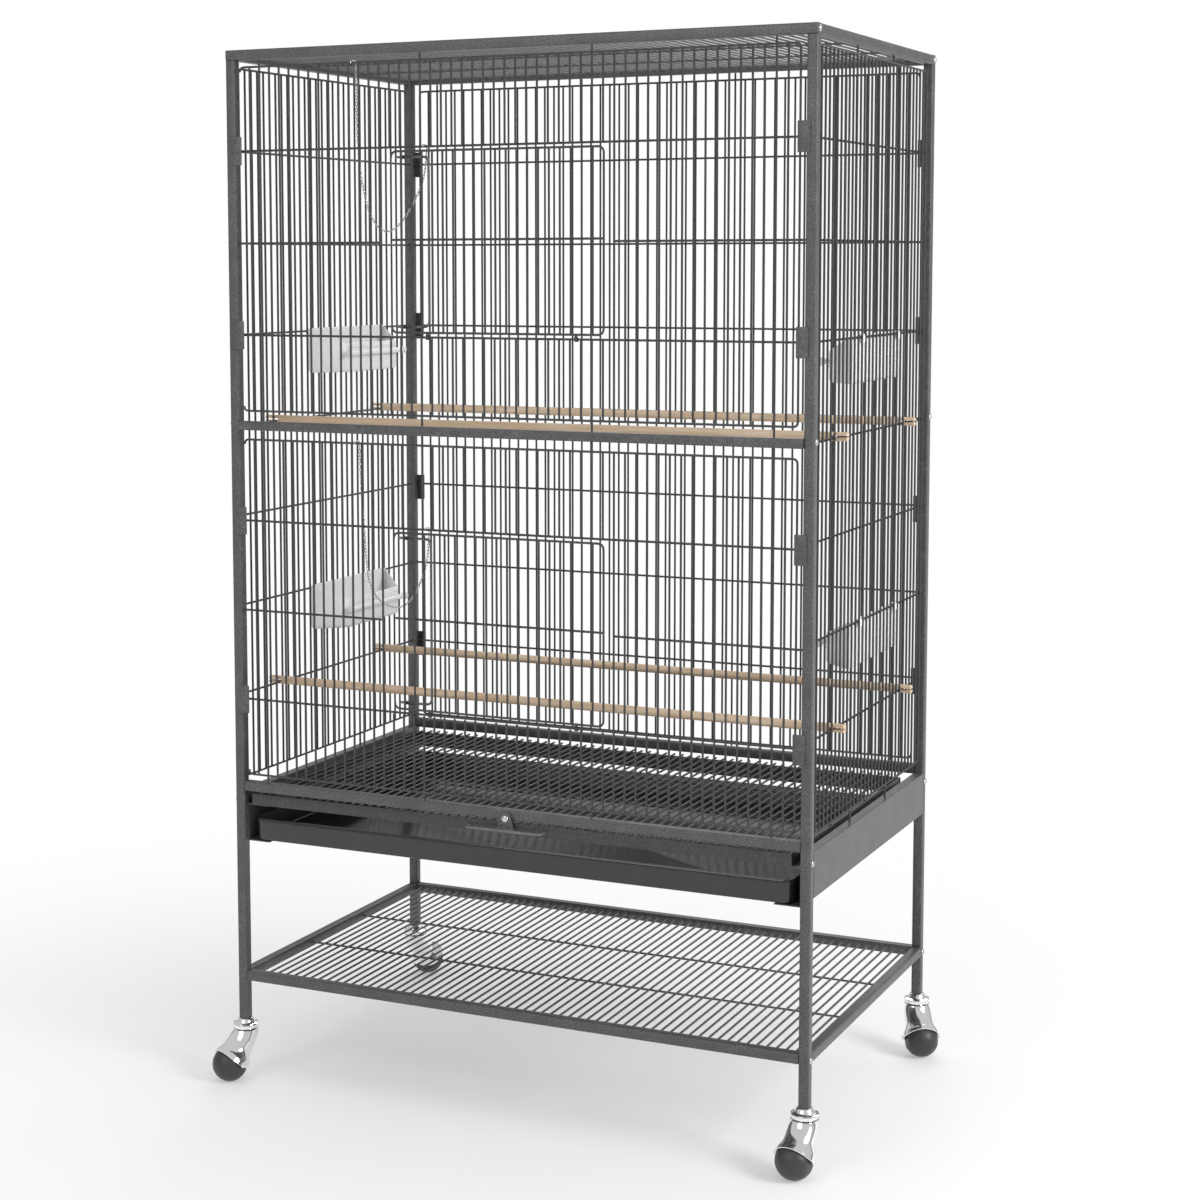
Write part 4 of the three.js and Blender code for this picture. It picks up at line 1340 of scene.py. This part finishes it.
@dataclass
class Caster(SubAssembly):
    """A chrome-hooded ball caster: collar, hood and ball.

    Attributes:
        corner: the caster's corner.
        ball: the ball's radius.
        trail: how far behind its post the ball is.
    """

    corner: Corner
    ball: float = 23.0
    trail: float = 27.0

    def __post_init__(self) -> None:
        """Works out where the caster stands and which way it trails."""
        self.label, side_x, side_y, turn = self.corner.value
        self.x = side_x * (SIZES.half_w - SIZES.tube / 2)
        self.y = side_y * (SIZES.half_d - SIZES.tube / 2)
        self.along = np.array([math.cos(math.radians(turn)), math.sin(math.radians(turn)), 0])
        self.across = np.array([-self.along[1], self.along[0], 0])

    def build(self) -> None:
        """Makes the collar, hood and ball."""
        lower = [(3, 66), (13, 66.0), (15.2, 66.6), (16.2, 68.0), (16.0, 69.4)]
        flange = [(17.3, 70.2), (17.5, 71.6), (16.9, 73.0), (14.6, 73.8), (12.4, 74.2)]
        upper = [(11.4, 75.4), (10.8, 77.6), (9.6, 79.3), (8, 79.9), (2, 79.9)]
        surface = Surface().add_rings(lathe(lower + flange + upper, 40, (self.x, self.y, 0)))
        self.shop.publish(f"collar_{self.label}", surface, f"caster_collar_{self.label}", smooth=40)
        self.build_hood()
        self.build_ball()

    def point(self, forward: float, side: float, z: float) -> np.ndarray:
        """A point given along the trail, along the axle and up."""
        return np.array([self.x, self.y, 0]) + forward * self.along + side * self.across + [0, 0, z]

    def build_hood(self) -> None:
        """Makes the dome over the ball, the neck under the collar and the axle caps."""
        centre = self.point(self.trail, 0, self.ball)
        surface = Surface().add_rings(self.dome(centre))
        surface.add_rings(self.neck(centre))
        for side in (-1, 1):
            cap = [(2.6, -1.6), (2.6, 0.5), (2.1, 1.0), (0.4, 1.1)]
            place = self.point(self.trail - 2.5, side * 25.2, self.ball + 2)
            surface.add_rings(lathe(cap, 16, place, side * self.across))
        self.shop.publish(f"hood_{self.label}", surface, f"caster_hood_{self.label}", smooth=45)

    def dome(self, centre: np.ndarray) -> np.ndarray:
        """The shell over the ball: inside from its crown out to the rim, over it and back up outside.

        The rim lies past the ball's middle, and rises under the ball to clear the floor.

        Args:
            centre: the ball's centre.

        Returns:
            Rings about the shell's axis.
        """
        tilt = math.radians(30)
        axis = -math.cos(tilt) * self.along + np.array([0, 0, math.sin(tilt)])
        up = math.sin(tilt) * self.along + np.array([0, 0, math.cos(tilt)])
        turn = np.arange(48) * 2 * np.pi / 48
        extent = np.radians(97 - 58 * ((1 - np.cos(turn)) / 2) ** 2.2)
        inner = np.linspace(0.05, 0.985, 14)
        share = np.concatenate([inner, [1.0, 1.012, 1.0], inner[::-1]])
        radius = np.concatenate([np.full(14, 24.3), [24.6, 25.3, 26.0], np.full(14, 25.9)])
        swing = share[:, None] * extent[None]
        cross = np.cross(axis, up)
        around = np.cos(turn)[:, None] * up + np.sin(turn)[:, None] * cross
        ways = np.cos(swing)[..., None] * axis + np.sin(swing)[..., None] * around[None]
        return centre + radius[:, None, None] * ways

    def neck(self, centre: np.ndarray) -> np.ndarray:
        """The neck: as wide as the collar, leaning forward and swelling into the dome.

        Each point's distance d from the ball's centre becomes s + k log(1 + exp((d - s) / k)), so far
        from the dome it stays as it was and near the dome it runs onto the shell of radius s.

        Args:
            centre: the ball's centre.

        Returns:
            Rings along the neck, the last ones inside the dome's wall.
        """
        shell, blend = 25.1, 3.5
        t = np.linspace(0, 1, 22)[:, None, None]
        turn = (np.arange(40) * 2 * np.pi / 40)[None, :, None]
        tilt = math.radians(42) * t**2
        upward = np.array([0, 0, 1.0])
        middle = self.point(0, 0, 65.7) + 22.2 * t**1.3 * self.along - 35.1 * t * upward
        lead = np.cos(tilt) * self.along + np.sin(tilt) * upward
        radius = 17.0 + 2.0 * np.sin(np.pi * t) - 0.5 * t
        rings = middle + radius * (np.cos(turn) * lead - np.sin(turn) * self.across)
        away = rings - centre
        reach = np.linalg.norm(away, axis=-1, keepdims=True)
        rings = centre + away / reach * (shell + blend * np.log1p(np.exp((reach - shell) / blend)))
        last = rings[-1].mean(0)
        ends = last + (rings[-1] - last) * np.array([1.0, 0.7, 0.4, 0.12])[:, None, None] - centre
        ends = centre + ends * shell / np.linalg.norm(ends, axis=-1, keepdims=True)
        return np.concatenate([rings, ends])

    def build_ball(self) -> None:
        """Makes the ball wheel: a sphere with a shallow parting groove and flats at the axle."""
        swing = np.radians(np.linspace(-62, 62, 25))
        radius = self.ball * np.cos(swing)
        along = self.ball * np.sin(swing)
        radius[len(radius) // 2] -= 0.25
        profile = np.stack([radius, along], -1)
        surface = Surface().add_rings(lathe(profile, 44, self.point(self.trail, 0, self.ball), self.across))
        self.shop.publish(f"ball_{self.label}", surface, f"caster_wheel_{self.label}", smooth=40)


# ---------------------------------------------------------------- studio


class Studio:
    """Pale floor, soft lights and a bright surround."""

    def build(self) -> None:
        """Makes the studio."""
        self.build_world()
        self.build_floor()
        self.add_light("key", (3.4, -0.6, 2.2), 1.6, 95)
        self.add_light("fill", (-0.8, -3.6, 2.4), 2.2, 30)
        self.add_light("rim", (-0.5, 3.0, 3.0), 2.2, 40)
        scene = bpy.context.scene
        scene.view_settings.view_transform = "Standard"
        scene.view_settings.look = "None"
        scene.view_settings.exposure = 0.0

    def build_world(self) -> None:
        """Makes the surround: white to the camera, a soft grey band to everything it lights."""
        world = bpy.data.worlds.new("surround")
        bpy.context.scene.world = world
        world.use_nodes = True
        nodes, links = world.node_tree.nodes, world.node_tree.links
        nodes.clear()
        out = nodes.new("ShaderNodeOutputWorld")
        mix = nodes.new("ShaderNodeMixShader")
        rays = nodes.new("ShaderNodeLightPath")
        seen = nodes.new("ShaderNodeBackground")
        seen.inputs["Color"].default_value = (1, 1, 1, 1)
        seen.inputs["Strength"].default_value = 1.0
        lit = nodes.new("ShaderNodeBackground")
        lit.inputs["Strength"].default_value = 0.6
        coords = nodes.new("ShaderNodeTexCoord")
        apart = nodes.new("ShaderNodeSeparateXYZ")
        ramp = nodes.new("ShaderNodeValToRGB")
        stops = [(0.0, 0.9), (0.3, 0.9), (0.42, 0.12), (0.5, 0.2), (0.6, 0.95)]
        ramp.color_ramp.elements[0].position = stops[0][0]
        ramp.color_ramp.elements[1].position = 1.0
        for place, shade in stops[1:]:
            ramp.color_ramp.elements.new(place).color = (shade, shade, shade, 1)
        ramp.color_ramp.elements[0].color = (0.9, 0.9, 0.9, 1)
        ramp.color_ramp.elements[-1].color = (1, 1, 1, 1)
        height = nodes.new("ShaderNodeMapRange")
        height.inputs["From Min"].default_value = -1
        height.inputs["From Max"].default_value = 1
        links.new(coords.outputs["Generated"], apart.inputs["Vector"])
        links.new(apart.outputs["Z"], height.inputs["Value"])
        links.new(height.outputs["Result"], ramp.inputs["Fac"])
        links.new(ramp.outputs["Color"], lit.inputs["Color"])
        links.new(rays.outputs["Is Camera Ray"], mix.inputs["Fac"])
        links.new(lit.outputs["Background"], mix.inputs[1])
        links.new(seen.outputs["Background"], mix.inputs[2])
        links.new(mix.outputs["Shader"], out.inputs["Surface"])

    def build_floor(self) -> None:
        """Makes the pale floor."""
        mesh = bpy.data.meshes.new("floor")
        mesh.from_pydata([(-30, -30, 0), (30, -30, 0), (30, 30, 0), (-30, 30, 0)], [], [(0, 1, 2, 3)])
        material = bpy.data.materials.new("floor_paper")
        material.use_nodes = True
        nodes, links = material.node_tree.nodes, material.node_tree.links
        shader = nodes["Principled BSDF"]
        shader.inputs["Base Color"].default_value = (0.94, 0.94, 0.94, 1)
        shader.inputs["Roughness"].default_value = 0.9
        shader.inputs["Specular IOR Level"].default_value = 0.0
        glow = nodes.new("ShaderNodeEmission")
        glow.inputs["Color"].default_value = (1, 1, 1, 1)
        mix = nodes.new("ShaderNodeMixShader")
        coords = nodes.new("ShaderNodeTexCoord")
        length = nodes.new("ShaderNodeVectorMath")
        length.operation = "LENGTH"
        fade = nodes.new("ShaderNodeMapRange")
        fade.interpolation_type = "SMOOTHSTEP"
        fade.inputs["From Min"].default_value = 0.3
        fade.inputs["From Max"].default_value = 1.6
        fade.inputs["To Min"].default_value = 0.3
        links.new(coords.outputs["Object"], length.inputs[0])
        links.new(length.outputs["Value"], fade.inputs["Value"])
        links.new(fade.outputs["Result"], mix.inputs["Fac"])
        links.new(shader.outputs["BSDF"], mix.inputs[1])
        links.new(glow.outputs["Emission"], mix.inputs[2])
        links.new(mix.outputs["Shader"], nodes["Material Output"].inputs["Surface"])
        mesh.materials.append(material)
        floor = bpy.data.objects.new("floor", mesh)
        bpy.context.scene.collection.objects.link(floor)

    def add_light(self, name: str, place: tuple, size: float, power: float) -> None:
        """Adds a square soft light aimed at the cage's middle.

        Args:
            name: the light's name.
            place: where it hangs, in metres.
            size: its side.
            power: its watts.
        """
        data = bpy.data.lights.new(name, "AREA")
        data.size = size
        data.energy = power
        lamp = bpy.data.objects.new(name, data)
        bpy.context.scene.collection.objects.link(lamp)
        lamp.location = place
        lamp.rotation_euler = (Vector((0, 0, 0.7)) - Vector(place)).to_track_quat("-Z", "Y").to_euler()


def main() -> None:
    """Builds the scene in order."""
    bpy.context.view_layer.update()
    Camera().build()
    shop = Workshop(frame["record"])
    side_end, back_end = 15 * SIZES.side_pitch, 26 * SIZES.front_pitch
    sides, back = (SIZES.half_d, side_end, SIZES.side_pitch), (SIZES.half_w, back_end, SIZES.front_pitch)
    parts = [
        Chain(shop),
        StandFrame(shop),
        GridPanel(shop, "top_panel", 1333, 1339.5, True),
        GridPanel(shop, "shelf", 132, 140, False),
        ClosedPanel(shop, "side_panel_left", LEFT, *sides, (5,), 386.4),
        ClosedPanel(shop, "side_panel_right", RIGHT, *sides, (5,), 386.4),
        ClosedPanel(shop, "back_panel", BACK, *back, (8, 24), 397.9),
        FrontPanel(shop, Tier.UPPER, 886.4, 1332.6, 873.4),
        FrontPanel(shop, Tier.LOWER, 410.2, 861.1, 400.4),
        Door(shop, Tier.UPPER),
        Door(shop, Tier.LOWER),
        Tray(shop),
        Grate(shop),
        Perches(shop),
        Feeders(shop),
    ]
    parts += [Caster(shop, corner) for corner in Corner]
    for part in parts:
        part.build()
        part.dress()
    Studio().build()


if __name__ == "__main__":
    main()
